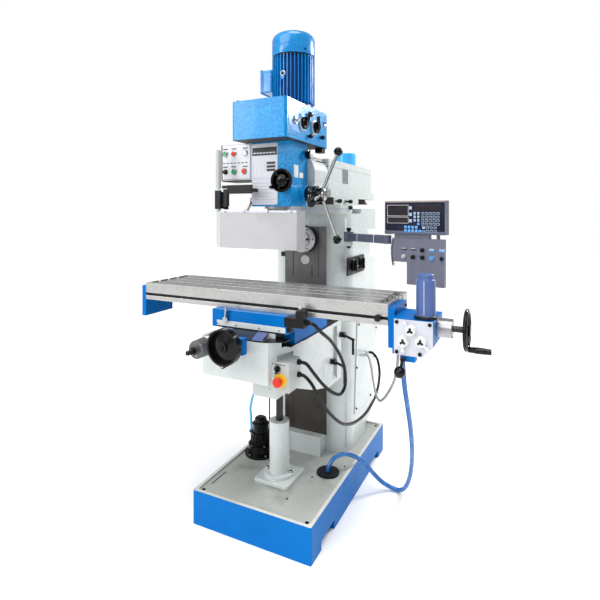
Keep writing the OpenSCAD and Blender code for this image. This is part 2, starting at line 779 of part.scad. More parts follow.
// Crank shaft of the knee with its knurled rings and square end
module knee_crank() {
  color("silver") translate([crank_x, knee_front + knee_crank_in, knee_z]) rotate([90, 0, 0]) {
    cylinder(h = knee_crank_end[0] + over, r = shaft_r);
    rings(knee_crank_rings);
    translate([-knee_crank_square / 2, -knee_crank_square / 2, knee_crank_end[0]])
      cube([knee_crank_square, knee_crank_square, knee_crank_end[1] - knee_crank_end[0]]);
  }
}

// A clamp lever: a pin, a boss and a bent handle; its place is [y, z, length of the handle]
module clamp_lever(place) {
  color("black") translate([knee_half_w, place[0], knee_z + place[1]]) {
    rod([-lock_pin_l, 0, 0], [over, 0, 0], pin_r);
    rod([over, 0, 0], [lock_boss[0], 0, 0], lock_boss[1]);
    rod([lock_boss[0] - pin_r, 0, 0], lock_bend, lock_rod_r);
    rod(lock_bend, lock_bend - [0, 0, place[2]], lock_rod_r);
    translate(lock_bend) sphere(r = lock_knee_r);
  }
}
module front_knee_lock() { clamp_lever(lock_places[0]); }
module rear_knee_lock() { clamp_lever(lock_places[1]); }

module cross_feed_screw() {
  color("silver") translate([0, cross_wheel_y, cross_z]) rotate([-90, 0, 0])
    cylinder(h = cross_screw_l, r = shaft_r);
}

// Dished cross handwheel with a lug at its rim, on a graduated dial
module cross_handwheel() {
  color("black") translate([0, cross_wheel_y, cross_z]) rotate([90, 0, 0]) difference() {
    union() {
      rotate_extrude() polygon(cross_dish);
      translate([0, -cross_wheel_r, -cross_lug[0] / 2]) cylinder(h = cross_lug[0], r = cross_lug[1]);
    }
    translate([0, 0, -2 * cross_lug[0]]) cylinder(h = 4 * cross_lug[0], r = shaft_r);
  }
  color("silver") translate([0, cross_wheel_y + cross_dial_y, cross_z]) rotate([-90, 0, 0]) difference() {
    cylinder(h = cross_dial[0], r = cross_dial[1]);
    translate([0, 0, -over]) cylinder(h = cross_dial[0] + 2 * over, r = shaft_r);
  }
}

// Saddle: rides on the knee's way and carries the table's dovetail and the screw nuts
module table_dovetail(clearance, x0, x1) {
  along_x([for (p = dovetail(tail_half, tail_half + dovetail_flare, dovetail_h, clearance))
    [p[0] + tail_mid, -p[1]]], x0, x1);
}
module saddle() {
  color("royalblue") translate([0, 0, saddle_z]) difference() {
    union() {
      span([-saddle_half_w, saddle_y[0], fit], [saddle_half_w, saddle_y[1], saddle_h]);
      for (s = [-1, 1]) scale([s, 1, 1])
        span([rail_half_w + fit, skirt_y[0], 2 * fit - rail_h],
          [saddle_half_w, skirt_y[1], saddle_h * skirt_share]);
      span([-cross_nut_half_w, cross_nut_y[0], fit - cross_nut_low], [cross_nut_half_w, cross_nut_y[1], over]);
      translate([0, 0, saddle_h]) table_dovetail(0, -saddle_half_w, saddle_half_w);
    }
    span([-saddle_half_w - over, feed_y - feed_groove[1], saddle_h - feed_groove[0]],
      [saddle_half_w + over, feed_y + feed_groove[1], saddle_h + over]);
    translate([0, saddle_y[0] - over, cross_z - saddle_z]) rotate([-90, 0, 0])
      cylinder(h = -saddle_y[0], r = shaft_r + fit);
    translate([saddle_lock_x, saddle_y[0] - over, saddle_lock_z]) rotate([-90, 0, 0])
      cylinder(h = saddle_lock_pin_l, r = small_pin_r + fit);
  }
  color("royalblue") translate([0, feed_y, table_z]) difference() {
    translate([-feed_nut[0] / 2, -feed_nut[1] / 2, -feed_nut_low]) cube(feed_nut);
    translate([-feed_nut[0], 0, 0]) rotate([0, 90, 0]) cylinder(h = 2 * feed_nut[0], r = shaft_r + fit);
  }
}
module limit_switch() {
  color("lightgray") translate([switch_x, 0, saddle_z]) {
    span(switch_box[0], switch_box[1]);
    span(switch_plate[0], switch_plate[1]);
  }
  color("black") translate([switch_x, 0, saddle_z]) {
    span(switch_head[0], switch_head[1]);
    translate(switch_gland) rotate([0, 90, 0]) cylinder(h = panel_gland[0], r = panel_gland[1]);
  }
}
module saddle_lock() {
  root = saddle_lock_pin_l - 1;
  color("black") translate([saddle_lock_x, saddle_y[0] + saddle_lock_pin_l - 2 * pin_r, saddle_z
    + saddle_lock_z]) rotate([90, 0, 0]) {
      cylinder(h = saddle_lock_pin_l, r = small_pin_r);
      translate([0, 0, saddle_lock_pin_l - 2 * pin_r + air])
        cylinder(h = saddle_lock_boss[0], r = saddle_lock_boss[1]);
      rod([0, 0, root - small_pin_r], saddle_lock_tip - [0, 0, small_pin_r], small_pin_r);
    }
}

// Table with three T-slots, a stop groove in front and a trough at each end
module table() {
  half_l = table_l / 2;
  half_w = table_w / 2;
  color("whitesmoke") translate([table_x, table_y, table_z]) difference() {
    span([-half_l, -half_w, fit], [half_l, half_w, table_h]);
    for (k = [-1 : 1]) translate([-half_l - over, k * tslot_pitch, 0]) {
      translate([0, -tslot_w / 2, table_h - tslot_depth])
        cube([table_l + 2 * over, tslot_w, tslot_depth + over]);
      translate([0, -tslot_w, table_h - tslot_foot[0]])
        cube([table_l + 2 * over, 2 * tslot_w, tslot_foot[1]]);
    }
    translate([0, -table_y, 0]) table_dovetail(2 * fit, -table_l, table_l);
    span([-table_l, feed_y - table_y - table_groove[1], -over],
      [table_l, feed_y - table_y + table_groove[1], table_groove[0]]);
    span([-table_l, -half_w - over, stop_groove[0]], [table_l, stop_groove[2] - half_w, stop_groove[1]]);
    for (s = [-1, 1]) scale([s, 1, 1]) span([half_l - trough[0], trough[2] - half_w, table_h - trough[3]],
      [half_l - trough[1], half_w - trough[2], table_h + over]);
  }
  color("black") translate([right_x - stop_dog_in, table_y - half_w, table_z + stop_dog_z])
    rotate([90, 0, 0]) cylinder(h = stop_dog[0], r = stop_dog[1]);
}
module end_bracket(x) {
  difference() {
    span([x, bracket_y[0], table_z + bracket_z[0]], [x + bracket_t, bracket_y[1], table_z + bracket_z[1]]);
    translate([x - over, feed_y, table_z]) rotate([0, 90, 0])
      cylinder(h = bracket_t + 2 * over, r = shaft_r + fit);
  }
}
module left_end_bracket() { color("dodgerblue") end_bracket(left_x - bracket_t); }
module right_end_bracket() {
  color("dodgerblue") {
    end_bracket(right_x);
    translate([right_x + drain_fitting[0], drain_fitting[1], table_z + drain_fitting[2]])
      cylinder(h = drain_fitting_l, r = small_pin_r * 2);
  }
}

module feed_gearbox() {
  w = feed_size[0];
  color("dodgerblue") translate([feed_x, feed_front + plate_t, table_z + feed_low]) difference() {
    union() {
      rotate([90, 0, 0]) translate([0, 0, plate_t - feed_size[1]])
        linear_extrude(height = feed_size[1] - plate_t)
          polygon([[0, 0], [w - feed_chamfer, 0], [w, feed_chamfer], [w, feed_size[2]], [0, feed_size[2]]]);
      translate(feed_foot) cube(feed_foot_size);
    }
    translate([-over, feed_y - feed_front - plate_t, -feed_low]) rotate([0, 90, 0])
      cylinder(h = w + 2 * over, r = shaft_r + fit);
    for (d = concat(dials, [engage_at])) translate([d[0], -over, d[1] - feed_low]) rotate([-90, 0, 0])
      cylinder(h = engage_pin[1] + plate_t, r = dial_pin_r + fit);
  }
}
module feed_gearbox_plate() {
  color("silver") translate([feed_x, feed_front + plate_t, table_z]) difference() {
    rotate([90, 0, 0]) linear_extrude(height = plate_t) polygon(feed_plate);
    for (d = dials) translate([d[0], -plate_t - over, d[1]]) rotate([-90, 0, 0])
      cylinder(h = 2 * plate_t + over, r = dial_pin_r + fit);
  }
}
module feed_motor() {
  color("lightgray") translate([feed_x, 0, table_z] + feed_motor_at) stack(feed_motor_steps);
}

// A feed dial with its lever
module feed_dial(k) {
  color("black") translate([feed_x + dials[k][0], feed_front - air, table_z + dials[k][1]])
    rotate([90, 0, 0]) {
      translate([0, 0, -dial_pin_l]) cylinder(h = dial_pin_l + over, r = dial_pin_r);
      cylinder(h = dial_knob[0], r = dial_knob[1]);
      rotate([0, 0, dial_turn[k]]) rod([0, 0, dial_arm_z], dial_arm, dial_arm_r);
      rotate([0, 0, dial_turn[k]]) translate(dial_arm) sphere(r = dial_ball_r);
    }
}
module feed_dial_1() { feed_dial(0); }
module feed_dial_2() { feed_dial(1); }
module feed_dial_3() { feed_dial(2); }
module feed_engage_lever() {
  y = engage_pin[0] - engage_boss[1] / 2;
  color("black") translate([feed_x + engage_at[0], feed_front, table_z + engage_at[1]]) {
    rod([0, engage_pin[0], 0], [0, engage_pin[1], 0], dial_pin_r);
    rod([0, y, 0], engage_tip, small_pin_r);
    translate(engage_tip) sphere(r = engage_ball_r);
    rod([0, engage_boss[0], 0], [0, engage_pin[0], 0], engage_boss[1]);
  }
}

module table_lead_screw() {
  start = left_x - lead_screw_out[0];
  color("silver") translate([start, feed_y, table_z]) rotate([0, 90, 0])
    cylinder(h = feed_x + lead_screw_out[1] - start, r = shaft_r);
}

// Handwheel with three spokes, a round rim and a handle, on a graduated dial
module table_crank() {
  spokes = [30, 150, 270];
  reach = crank_r - crank_rim;
  color("black") translate([feed_x + crank_out, feed_y, table_z]) {
    rotate([0, 90, 0]) difference() {
      union() {
        translate([0, 0, -crank_hub_l / 2]) cylinder(h = crank_hub_l, r = 1.8 * shaft_r);
        for (a = spokes) rotate([0, 0, a]) rod([0, 0, 0], [reach, 0, 0], crank_rim * 0.7);
        rotate_extrude() translate([reach, 0]) circle(r = crank_rim);
      }
      translate([0, 0, -crank_hub_l]) cylinder(h = 2 * crank_hub_l, r = shaft_r);
    }
    translate([0, 0, -reach]) rotate([0, 90, 0]) cylinder(h = crank_handle[0], r = crank_handle[1]);
  }
  color("silver") translate([feed_x + crank_dial_out, feed_y, table_z]) rotate([0, 90, 0]) difference() {
    cylinder(h = crank_dial[0], r = crank_dial[1]);
    translate([0, 0, -over]) cylinder(h = crank_dial[0] + 2 * over, r = shaft_r);
  }
}

// Turret: a graduated ring with the ram's dovetail slot
module turret() {
  color("honeydew") translate([0, turret_y, column_z]) difference() {
    union() {
      translate([0, 0, fit]) cylinder(h = ring_h, r = turret_r);
      translate([-turret_block[0] / 2, -turret_block[1] / 2, ring_h])
        cube([turret_block[0], turret_block[1], turret_h - ring_h - fit]);
    }
    translate([0, turret_block[1], turret_h]) rotate([90, 0, 0]) linear_extrude(height = 2 * turret_block[1])
      polygon(dovetail(ram_tail[0], ram_tail[1], ram_tail[2], 2 * fit));
  }
  color("dimgray") for (y = turret_bolts_y) translate([turret_bolt_x, y, column_z + turret_bolt_z])
    rotate([0, -90, 0]) cylinder(h = turret_bolt[0], r = turret_bolt[1]);
}

// Ram: a hollow box on a dovetail, rounded at its front so that the head can swing
module ram() {
  axis_z = pivot_z - turret_z;
  color("honeydew") translate([0, ram_y, turret_z]) difference() {
    union() {
      span([-ram_half_w, 0, ledge_h - over], [ram_half_w, ram_l, ledge_h + ram_h]);
      span([-ram_half_w - ram_ledge_out[0], 0, fit],
        [ram_half_w + ram_ledge_out[0], ram_l + ram_ledge_out[1], ledge_h]);
      translate([0, ram_l + ram_ledge_out[1], 0]) rotate([90, 0, 0])
        linear_extrude(height = ram_l + ram_ledge_out[1])
          polygon(dovetail(ram_tail[0], ram_tail[1], ram_tail[2], 0));
    }
    difference() {
      translate([0, -over, axis_z]) rotate([-90, 0, 0]) cylinder(h = ram_front_l, r = 2 * ram_half_w);
      translate([0, -2 * over, axis_z]) rotate([-90, 0, 0])
        cylinder(h = ram_front_l + 4 * over, r = ram_front_r);
    }
    span([ram_hollow[0] - ram_half_w, ram_hollow[1], ledge_h + ram_hollow[0] / 2],
      [ram_half_w - ram_hollow[0], ram_l - ram_hollow[0], ledge_h + ram_h - ram_hollow[0]]);
    span([-ram_channel_half_w, ram_hollow[1], ram_hollow[0] / 2],
      [ram_channel_half_w, ram_l - ram_hollow[0], ledge_h + ram_hollow[0]]);
  }
}
module ram_motor() {
  color("lightskyblue") translate([0, ram_y + ram_l - ram_motor_in, turret_z + ledge_h + ram_h])
    stack(ram_motor_steps);
}

// Places on the head are taken from the swivel axis at the ram's front
module on_head() { translate([0, ram_y, pivot_z]) children(); }

module head_housing() {
  quill_l_all = head_top - head_low;
  color("steelblue") on_head() difference() {
    union() {
      span([-head_half_w, -head_d, head_low], [head_half_w, -fit, head_top]);
      translate([0, quill_y, head_low - quill_boss[0]]) cylinder(h = 2 * quill_boss[0], r = quill_boss[1]);
      translate([head_half_w - over, hub_at[0], hub_at[1]]) rotate([0, 90, 0])
        cylinder(h = hub_boss[0], r = hub_boss[1]);
      translate([head_half_w - over, side_boss[0], side_boss[1]]) rotate([0, 90, 0])
        cylinder(h = side_boss_size[0], r = side_boss_size[1]);
    }
    translate([0, quill_y, head_low - 2 * quill_boss[0]])
      cylinder(h = quill_l_all + 4 * quill_boss[0], r = quill_r + fit);
    translate([head_half_w - hub_boss[0], hub_at[0], hub_at[1]]) rotate([0, 90, 0])
      cylinder(h = 3 * hub_boss[0], r = hub_pin_r + fit);
    translate([fine_at[0], -head_d - over, fine_at[1]]) rotate([-90, 0, 0])
      cylinder(h = hub_boss[0], r = pin_r + fit);
    translate([-head_half_w - over, lock_at[0], lock_at[1]]) rotate([0, 90, 0])
      cylinder(h = quill_lock_pin[0] + 2 * over, r = small_pin_r + fit);
  }
  color("black") on_head() {
    span(guard_arm[0], guard_arm[1]);
    span(guard_arm_foot[0], guard_arm_foot[1]);
  }
  color("white") on_head() translate(guard_at) difference() {
    union() {
      cylinder(h = guard_hinge[0], r = guard_hinge[1]);
      translate([0, -guard_hinge_tail[1] / 2, 0])
        cube([guard_hinge_tail[0], guard_hinge_tail[1], guard_hinge[0]]);
    }
    translate([0, 0, -over]) cylinder(h = guard_hinge[0] + 2 * over, r = pin_r + fit);
  }
}
module head_gearbox() {
  inner = gearbox_size - 2 * [gearbox_wall, gearbox_wall];
  color("steelblue") on_head() difference() {
    translate([0, gearbox_y, head_top])
      round_plate(gearbox_size[0], gearbox_size[1], gearbox_h, gearbox_r);
    translate([0, gearbox_y, head_top + gearbox_wall])
      round_plate(inner[0], inner[1], gearbox_h - 2 * gearbox_wall, gearbox_wall);
    translate([0, quill_y, head_top - over]) cylinder(h = 2 * gearbox_wall, r = quill_r + plate_t);
    for (y = gear_lever_y) translate([gear_lever_x, y, gear_lever_z]) rotate([0, 90, 0])
      cylinder(h = 2 * gear_lever_pin_l, r = small_pin_r + fit);
  }
}
module head_motor() {
  color("dodgerblue") on_head() {
    translate([0, motor_y, head_top + gearbox_h]) {
      stack([[motor_flange_h, motor_r], [motor_h - fan_dome[0], motor_r - motor_rib]]);
      translate([0, 0, fan_cover_z]) cylinder(h = motor_h - fan_cover_z - fan_dome[0], r = motor_r);
      translate([0, 0, motor_h - fan_dome[0]]) cylinder(h = fan_dome[0], r1 = motor_r, r2 = fan_dome[1]);
    }
    span(terminal_box[0], terminal_box[1]);
  }
}
module quill() {
  color("silver") on_head() translate([0, quill_y, -quill_low]) difference() {
    cylinder(h = quill_l, r = quill_r);
    translate([0, 0, -over]) cylinder(h = quill_l + 2 * over, r = spindle_r + fit);
  }
}

// Vertical spindle with the taper for a tool
module vertical_spindle() {
  color("silver") on_head() translate([0, quill_y, -quill_low - spindle_nose_l]) difference() {
    union() {
      translate([0, 0, spindle_nose_l]) cylinder(h = spindle_l, r = spindle_r);
      cylinder(h = spindle_nose_l - air, r = spindle_nose_r);
      cylinder(h = spindle_nose_l + over, r = spindle_r);
    }
    rotate_extrude() polygon(taper);
    cylinder(h = spindle_l + 2 * spindle_nose_l, r = drawbar_r);
  }
}

// Three-spoke lever that feeds the quill
module quill_feed_lever() {
  root = [head_half_w, hub_at[0], hub_at[1]];
  color("silver") on_head() translate(root) {
    rod([lever_shaft[0], 0, 0], [lever_shaft[1], 0, 0], hub_pin_r);
    rod([lever_hub[0] + air, 0, 0], [lever_hub[1], 0, 0], lever_hub[2]);
    rod([lever_cap[0], 0, 0], [lever_cap[1], 0, 0], lever_cap[2]);
    for (a = lever_turns) rotate([a, 0, 0]) rod(lever_root, lever_tip, lever_rod_r);
  }
  color("black") on_head() translate(root)
    for (a = lever_turns) rotate([a, 0, 0]) translate(lever_tip) sphere(r = ball_r);
}
module fine_feed_wheel() {
  color("black") on_head() translate([fine_at[0], -head_d + fine_pin_in, fine_at[1]]) rotate([90, 0, 0]) {
    cylinder(h = fine_shaft_l, r = pin_r);
    translate([0, 0, fine_pin_in + air]) cylinder(h = fine_collar[0], r = fine_collar[1]);
    translate([0, 0, fine_dish_z]) rotate_extrude() polygon(fine_dish);
    translate([0, fine_handle[0], fine_dish_z]) cylinder(h = fine_handle[1], r = pin_r);
  }
}
module quill_lock() {
  color("black") on_head() translate([-head_half_w, lock_at[0], lock_at[1]]) {
    rod([quill_lock_pin[0], 0, 0], [quill_lock_pin[1], 0, 0], small_pin_r);
    rod([-air, 0, 0], [quill_lock_boss[0], 0, 0], quill_lock_boss[1]);
    rod(quill_lock_rod[0], quill_lock_rod[1], small_pin_r);
  }
}
module gear_lever(y, turn) {
  color("black") on_head() translate([gearbox_size[0] / 2, y, gear_lever_z]) rotate([turn, 0, 0]) {
    rod([-gear_lever_pin_l, 0, 0], [over, 0, 0], small_pin_r);
    rod([air, 0, 0], [gear_lever_boss[0], 0, 0], gear_lever_boss[1]);
    rod(gear_lever_rod[0], gear_lever_rod[1], pin_r);
    rod(gear_lever_hub[0], gear_lever_hub[1], gear_lever_hub_r);
  }
}
module gear_lever_1() { gear_lever(gear_lever_y[0], -20); }
module gear_lever_2() { gear_lever(gear_lever_y[1], 25); }

module control_box() {
  w = control_wall;
  color("whitesmoke") on_head() difference() {
    translate(control_at) cube(control_size);
    translate(control_at + [w, w, w]) cube(control_size - 2 * [w, w, w]);
    for (b = buttons) translate([b[0], control_at[1] - over, b[1]]) rotate([-90, 0, 0])
      cylinder(h = w + 2 * over, r = button_stem[1] + fit);
  }
}
module button(k, shade) {
  color(shade) on_head() translate([buttons[k][0], control_at[1] - control_wall, buttons[k][1]])
    rotate([90, 0, 0]) {
      translate([0, 0, -button_stem[0]]) cylinder(h = button_stem[0] + over, r = button_stem[1]);
      cylinder(h = button_head_l, r = button_r);
    }
}
module button_1() { button(0, "green"); }
module button_2() { button(1, "red"); }
module button_3() { button(2, "white"); }
module button_4() { button(3, "green"); }
module button_5() { button(4, "red"); }

// Swinging chip guard: a post, a clear front panel and two side wings
module guard_shield() {
  color("white") on_head() translate([guard_at[0], guard_at[1], 0]) {
    translate([0, 0, guard_post[0]]) cylinder(h = guard_post[1], r = pin_r);
    translate([0, 0, guard_collar[0]]) cylinder(h = guard_collar[1] - air, r = guard_collar[2]);
  }
  color("lightcyan") on_head() translate([0, 0, guard_low]) linear_extrude(height = guard_h)
    polygon(guard_outline);
}

// Jointed arm of the readout and its hanging unit
module dro_arm() {
  knuckle_z = arm_z - arm_knuckle[0] / 2;
  color("slategray") {
    for (i = [0 : 2]) rod(concat(arm_route[i], arm_z), concat(arm_route[i + 1], arm_z), arm_r);
    translate([arm_route[0][0], arm_route[0][1], knuckle_z]) cylinder(h = arm_knuckle[0], r = arm_knuckle[1]);
    for (i = [1, 2]) translate([arm_route[i][0], arm_route[i][1], arm_z - arm_bend[0] / 2])
      cylinder(h = arm_bend[0], r = arm_bend[1]);
    translate([arm_route[3][0], arm_route[3][1], knuckle_z]) cylinder(h = arm_knuckle[0], r = arm_bend[1]);
    translate([arm_route[0][0], arm_route[0][1], arm_z - arm_pin_l]) cylinder(h = arm_pin_l, r = pin_r);
  }
}
module dro_unit() {
  color("slategray") translate(unit_at + [0, 0, arm_z]) rotate([0, 0, unit_turn]) {
    translate(display[0]) cube(display[1]);
    translate(display_foot[0] + [0, 0, air]) cube(display_foot[1]);
    difference() {
      translate(hanging_panel[0]) cube(hanging_panel[1]);
      translate(panel_notch[0]) cube(panel_notch[1]);
    }
    for (x = panel_posts_x) translate([x, panel_post[0], panel_post[1]]) cylinder(h = panel_post[2], r = pin_r);
  }
}

base();
column();
column_cover();
screw_pedestal();
coolant_pump();
coolant_hose();
drain_hose();
knee_conduit();
feed_conduit();
horizontal_spindle();
upper_speed_selector();
lower_speed_selector();
knee();
knee_panel_box();
elevating_screw();
knee_crank();
emergency_button();
panel_switch();
front_knee_lock();
rear_knee_lock();
cross_feed_screw();
cross_handwheel();
saddle();
saddle_conduit();
limit_switch();
saddle_lock();
table();
left_end_bracket();
right_end_bracket();
feed_gearbox();
feed_gearbox_plate();
feed_motor();
feed_dial_1();
feed_dial_2();
feed_dial_3();
feed_engage_lever();
table_lead_screw();
table_crank();
turret();
ram();
ram_motor();
head_housing();
head_gearbox();
head_motor();
quill();
vertical_spindle();
quill_feed_lever();
fine_feed_wheel();
quill_lock();
gear_lever_1();
gear_lever_2();
control_box();
button_1();
button_2();
button_3();
button_4();
button_5();
guard_shield();
dro_arm();
dro_unit();
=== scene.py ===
import json
import math
import bmesh
import bpy
from mathutils import Matrix, Vector


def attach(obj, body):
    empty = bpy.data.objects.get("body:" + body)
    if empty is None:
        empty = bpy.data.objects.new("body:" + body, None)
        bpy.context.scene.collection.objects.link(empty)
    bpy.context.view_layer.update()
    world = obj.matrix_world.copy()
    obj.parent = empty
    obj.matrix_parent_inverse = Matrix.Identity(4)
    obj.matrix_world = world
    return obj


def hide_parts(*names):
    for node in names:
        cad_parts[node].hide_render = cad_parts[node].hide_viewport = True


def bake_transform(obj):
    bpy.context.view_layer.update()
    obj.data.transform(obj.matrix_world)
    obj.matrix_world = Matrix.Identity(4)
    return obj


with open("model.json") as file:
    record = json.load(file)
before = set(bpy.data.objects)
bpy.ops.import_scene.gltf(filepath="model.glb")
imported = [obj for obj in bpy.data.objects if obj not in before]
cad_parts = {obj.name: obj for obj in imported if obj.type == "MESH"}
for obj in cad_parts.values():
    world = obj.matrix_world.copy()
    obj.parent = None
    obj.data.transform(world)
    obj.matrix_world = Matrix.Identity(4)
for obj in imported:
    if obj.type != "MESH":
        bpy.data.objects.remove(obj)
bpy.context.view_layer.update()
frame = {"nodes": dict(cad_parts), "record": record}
nodes = frame["nodes"]
body_of_node = {n: b for b, names in frame["record"]["behaviour"]["bodies"].items() for n in names}

# The studio: a pale floor, a white room, two wide suns, and two soft lamps for highlights.
# The camera stands level at the operator's right hand, 1.48 m up, and looks across the machine.
# Its lens is shifted down, so that the machine's uprights stay upright in the picture.
CAMERA_AT = (1.120, -2.292, 1.479)
CAMERA_TURN = 26.15
LENS, SENSOR = 28.0, 36.0
SHIFT_DOWN = -0.1488
FLOOR_SIZE = 30.0
FLOOR_COLOUR = (0.93, 0.93, 0.93, 1)
ROOM_LIGHT = 0.40
SUNS = [("top_sun", (0.5, -0.7, 3.6), 2.2, 40), ("front_sun", (-1.5, -3.4, 2.3), 1.6, 50)]
LAMPS = [("left_lamp", (-2.4, -3.0, 2.6), (0, -0.2, 1.2), 1.4, 30),
         ("rear_lamp", (1.7, 2.2, 3.0), (0.15, 0, 1.9), 1.0, 85)]

scene = bpy.context.scene
scene.view_settings.view_transform = "Standard"
camera = bpy.data.objects.new("camera", bpy.data.cameras.new("camera"))
scene.collection.objects.link(camera)
camera.location = CAMERA_AT
camera.rotation_euler = (math.radians(90), 0, math.radians(CAMERA_TURN))
camera.data.lens = LENS
camera.data.sensor_width = SENSOR
camera.data.shift_y = SHIFT_DOWN
scene.camera = camera

for sun_name, place, power, width in SUNS:
    sun = bpy.data.objects.new(sun_name, bpy.data.lights.new(sun_name, "SUN"))
    sun.data.energy = power
    sun.data.angle = math.radians(width)
    sun.rotation_euler = (-Vector(place)).to_track_quat("-Z", "Y").to_euler()
    scene.collection.objects.link(sun)
for lamp_name, place, aim, size, power in LAMPS:
    lamp = bpy.data.objects.new(lamp_name, bpy.data.lights.new(lamp_name, "AREA"))
    lamp.data.shape = "DISK"
    lamp.data.size = size
    lamp.data.energy = power
    lamp.location = place
    lamp.rotation_euler = (Vector(aim) - Vector(place)).to_track_quat("-Z", "Y").to_euler()
    lamp.visible_camera = False
    scene.collection.objects.link(lamp)

world = bpy.data.worlds.new("white_room")
scene.world = world
world.use_nodes = True
room = world.node_tree
background = room.nodes["Background"]
path = room.nodes.new("ShaderNodeLightPath")
seen = room.nodes.new("ShaderNodeMath")
seen.operation = "MAXIMUM"
strength = room.nodes.new("ShaderNodeMapRange")
strength.inputs["To Min"].default_value = ROOM_LIGHT
strength.inputs["To Max"].default_value = 1.0
room.links.new(path.outputs["Is Camera Ray"], seen.inputs[0])
room.links.new(path.outputs["Is Transmission Ray"], seen.inputs[1])
room.links.new(seen.outputs[0], strength.inputs["Value"])
room.links.new(strength.outputs[0], background.inputs["Strength"])
background.inputs["Color"].default_value = (1, 1, 1, 1)

floor_mesh = bpy.data.meshes.new("floor")
half = FLOOR_SIZE / 2
floor_mesh.from_pydata([(-half, -half, 0), (half, -half, 0), (half, half, 0), (-half, half, 0)], [],
                       [(0, 1, 2, 3)])
floor = bpy.data.objects.new("floor", floor_mesh)
scene.collection.objects.link(floor)
floor_paint = bpy.data.materials.new("floor_paint")
floor_paint.use_nodes = True
shader = floor_paint.node_tree.nodes["Principled BSDF"]
shader.inputs["Base Color"].default_value = FLOOR_COLOUR
shader.inputs["Roughness"].default_value = 0.9
shader.inputs["Specular IOR Level"].default_value = 0.1
floor_mesh.materials.append(floor_paint)

# Hoses and conduits: soft PVC coolant hose, and rubber and braided conduits for the wires.
# Each one is a smooth tube through the points of its route, pushed onto a gland at each end.
# A finish is a paint, metal or rubber with its colour changes, grain and sheen.
MM = 0.001


def finish(name, colour, worn, rough, metallic=0.0, patch=6.0, spread=0.5, grain=300.0, stretch=(1, 1, 1),
           bump=0.03, dents=False, coat=0.0, clear=0.0, specular=0.5):
    made = bpy.data.materials.new(name)
    made.use_nodes = True
    tree = made.node_tree
    paint = tree.nodes["Principled BSDF"]

    def add(kind, values, socket=None, source=None):
        part = tree.nodes.new("ShaderNode" + kind)
        for key, value in values.items():
            part.inputs[key].default_value = value
        if socket:
            tree.links.new(source, part.inputs[socket])
        return part

    place = add("TexCoord", {}).outputs["Object"]
    grown = add("Mapping", {"Scale": stretch}, "Vector", place)
    clouds = add("TexNoise", {"Scale": patch, "Detail": 6, "Roughness": 0.62}, "Vector", place)
    ramp = add("ValToRGB", {}, "Fac", clouds.outputs["Fac"])
    for element, at, tint in zip(ramp.color_ramp.elements, (spread, min(spread + 0.28, 1.0)),
                                 (colour, worn)):
        element.position = at
        element.color = (*tint, 1)
    sheen = add("MapRange", {"From Min": 0.3, "From Max": 0.7, "To Min": max(rough - 0.06, 0.02),
                             "To Max": min(rough + 0.10, 1.0)}, "Value", clouds.outputs["Fac"])
    texture = add("TexVoronoi" if dents else "TexNoise", {"Scale": grain}, "Vector",
                  grown.outputs["Vector"])
    if dents:
        texture.feature = "SMOOTH_F1"
    else:
        texture.inputs["Detail"].default_value = 3
    relief = add("Bump", {"Strength": bump, "Distance": 0.001}, "Height", texture.outputs[0])
    for socket, source in (("Base Color", ramp.outputs["Color"]), ("Roughness", sheen.outputs[0]),
                           ("Normal", relief.outputs["Normal"])):
        tree.links.new(source, paint.inputs[socket])
    for socket, value in (("Metallic", metallic), ("Coat Weight", coat), ("Transmission Weight", clear),
                          ("Specular IOR Level", specular)):
        paint.inputs[socket].default_value = value
    return made


def piece(name, mesh, body, surfaces):
    made = bpy.data.objects.new(name, mesh)
    scene.collection.objects.link(made)
    for surface in surfaces:
        mesh.materials.append(surface)
    if body:
        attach(made, body)
    return made


def smooth_route(points, steps=6):
    held = [points[0]] + list(points) + [points[-1]]
    route = []
    for a, b, c, d in zip(held, held[1:], held[2:], held[3:]):
        a, b, c, d = (Vector(p) * MM for p in (a, b, c, d))
        for step in range(steps):
            t = step / steps
            route.append(0.5 * (2 * b + (c - a) * t + (2 * a - 5 * b + 4 * c - d) * t * t
                                + (3 * b - a - 3 * c + d) * t ** 3))
    return route + [Vector(points[-1]) * MM]


def tube_mesh(name, route, radius, sides=14):
    mesh = bpy.data.meshes.new(name)
    across = None
    rings = []
    for i, here in enumerate(route):
        ahead = (route[min(i + 1, len(route) - 1)] - route[max(i - 1, 0)]).normalized()
        if across is None:
            across = ahead.orthogonal()
        across = (across - across.dot(ahead) * ahead).normalized()
        up = ahead.cross(across)
        rings.append([here + radius * (math.cos(k * math.tau / sides) * across
                                       + math.sin(k * math.tau / sides) * up) for k in range(sides)])
    faces = [(i * sides + k, i * sides + (k + 1) % sides, (i + 1) * sides + (k + 1) % sides,
              (i + 1) * sides + k) for i in range(len(route) - 1) for k in range(sides)]
    faces += [tuple(reversed(range(sides))), tuple((len(route) - 1) * sides + k for k in range(sides))]
    mesh.from_pydata([p for ring in rings for p in ring], [], faces)
    for face in mesh.polygons:
        face.use_smooth = len(face.vertices) == 4
    return mesh


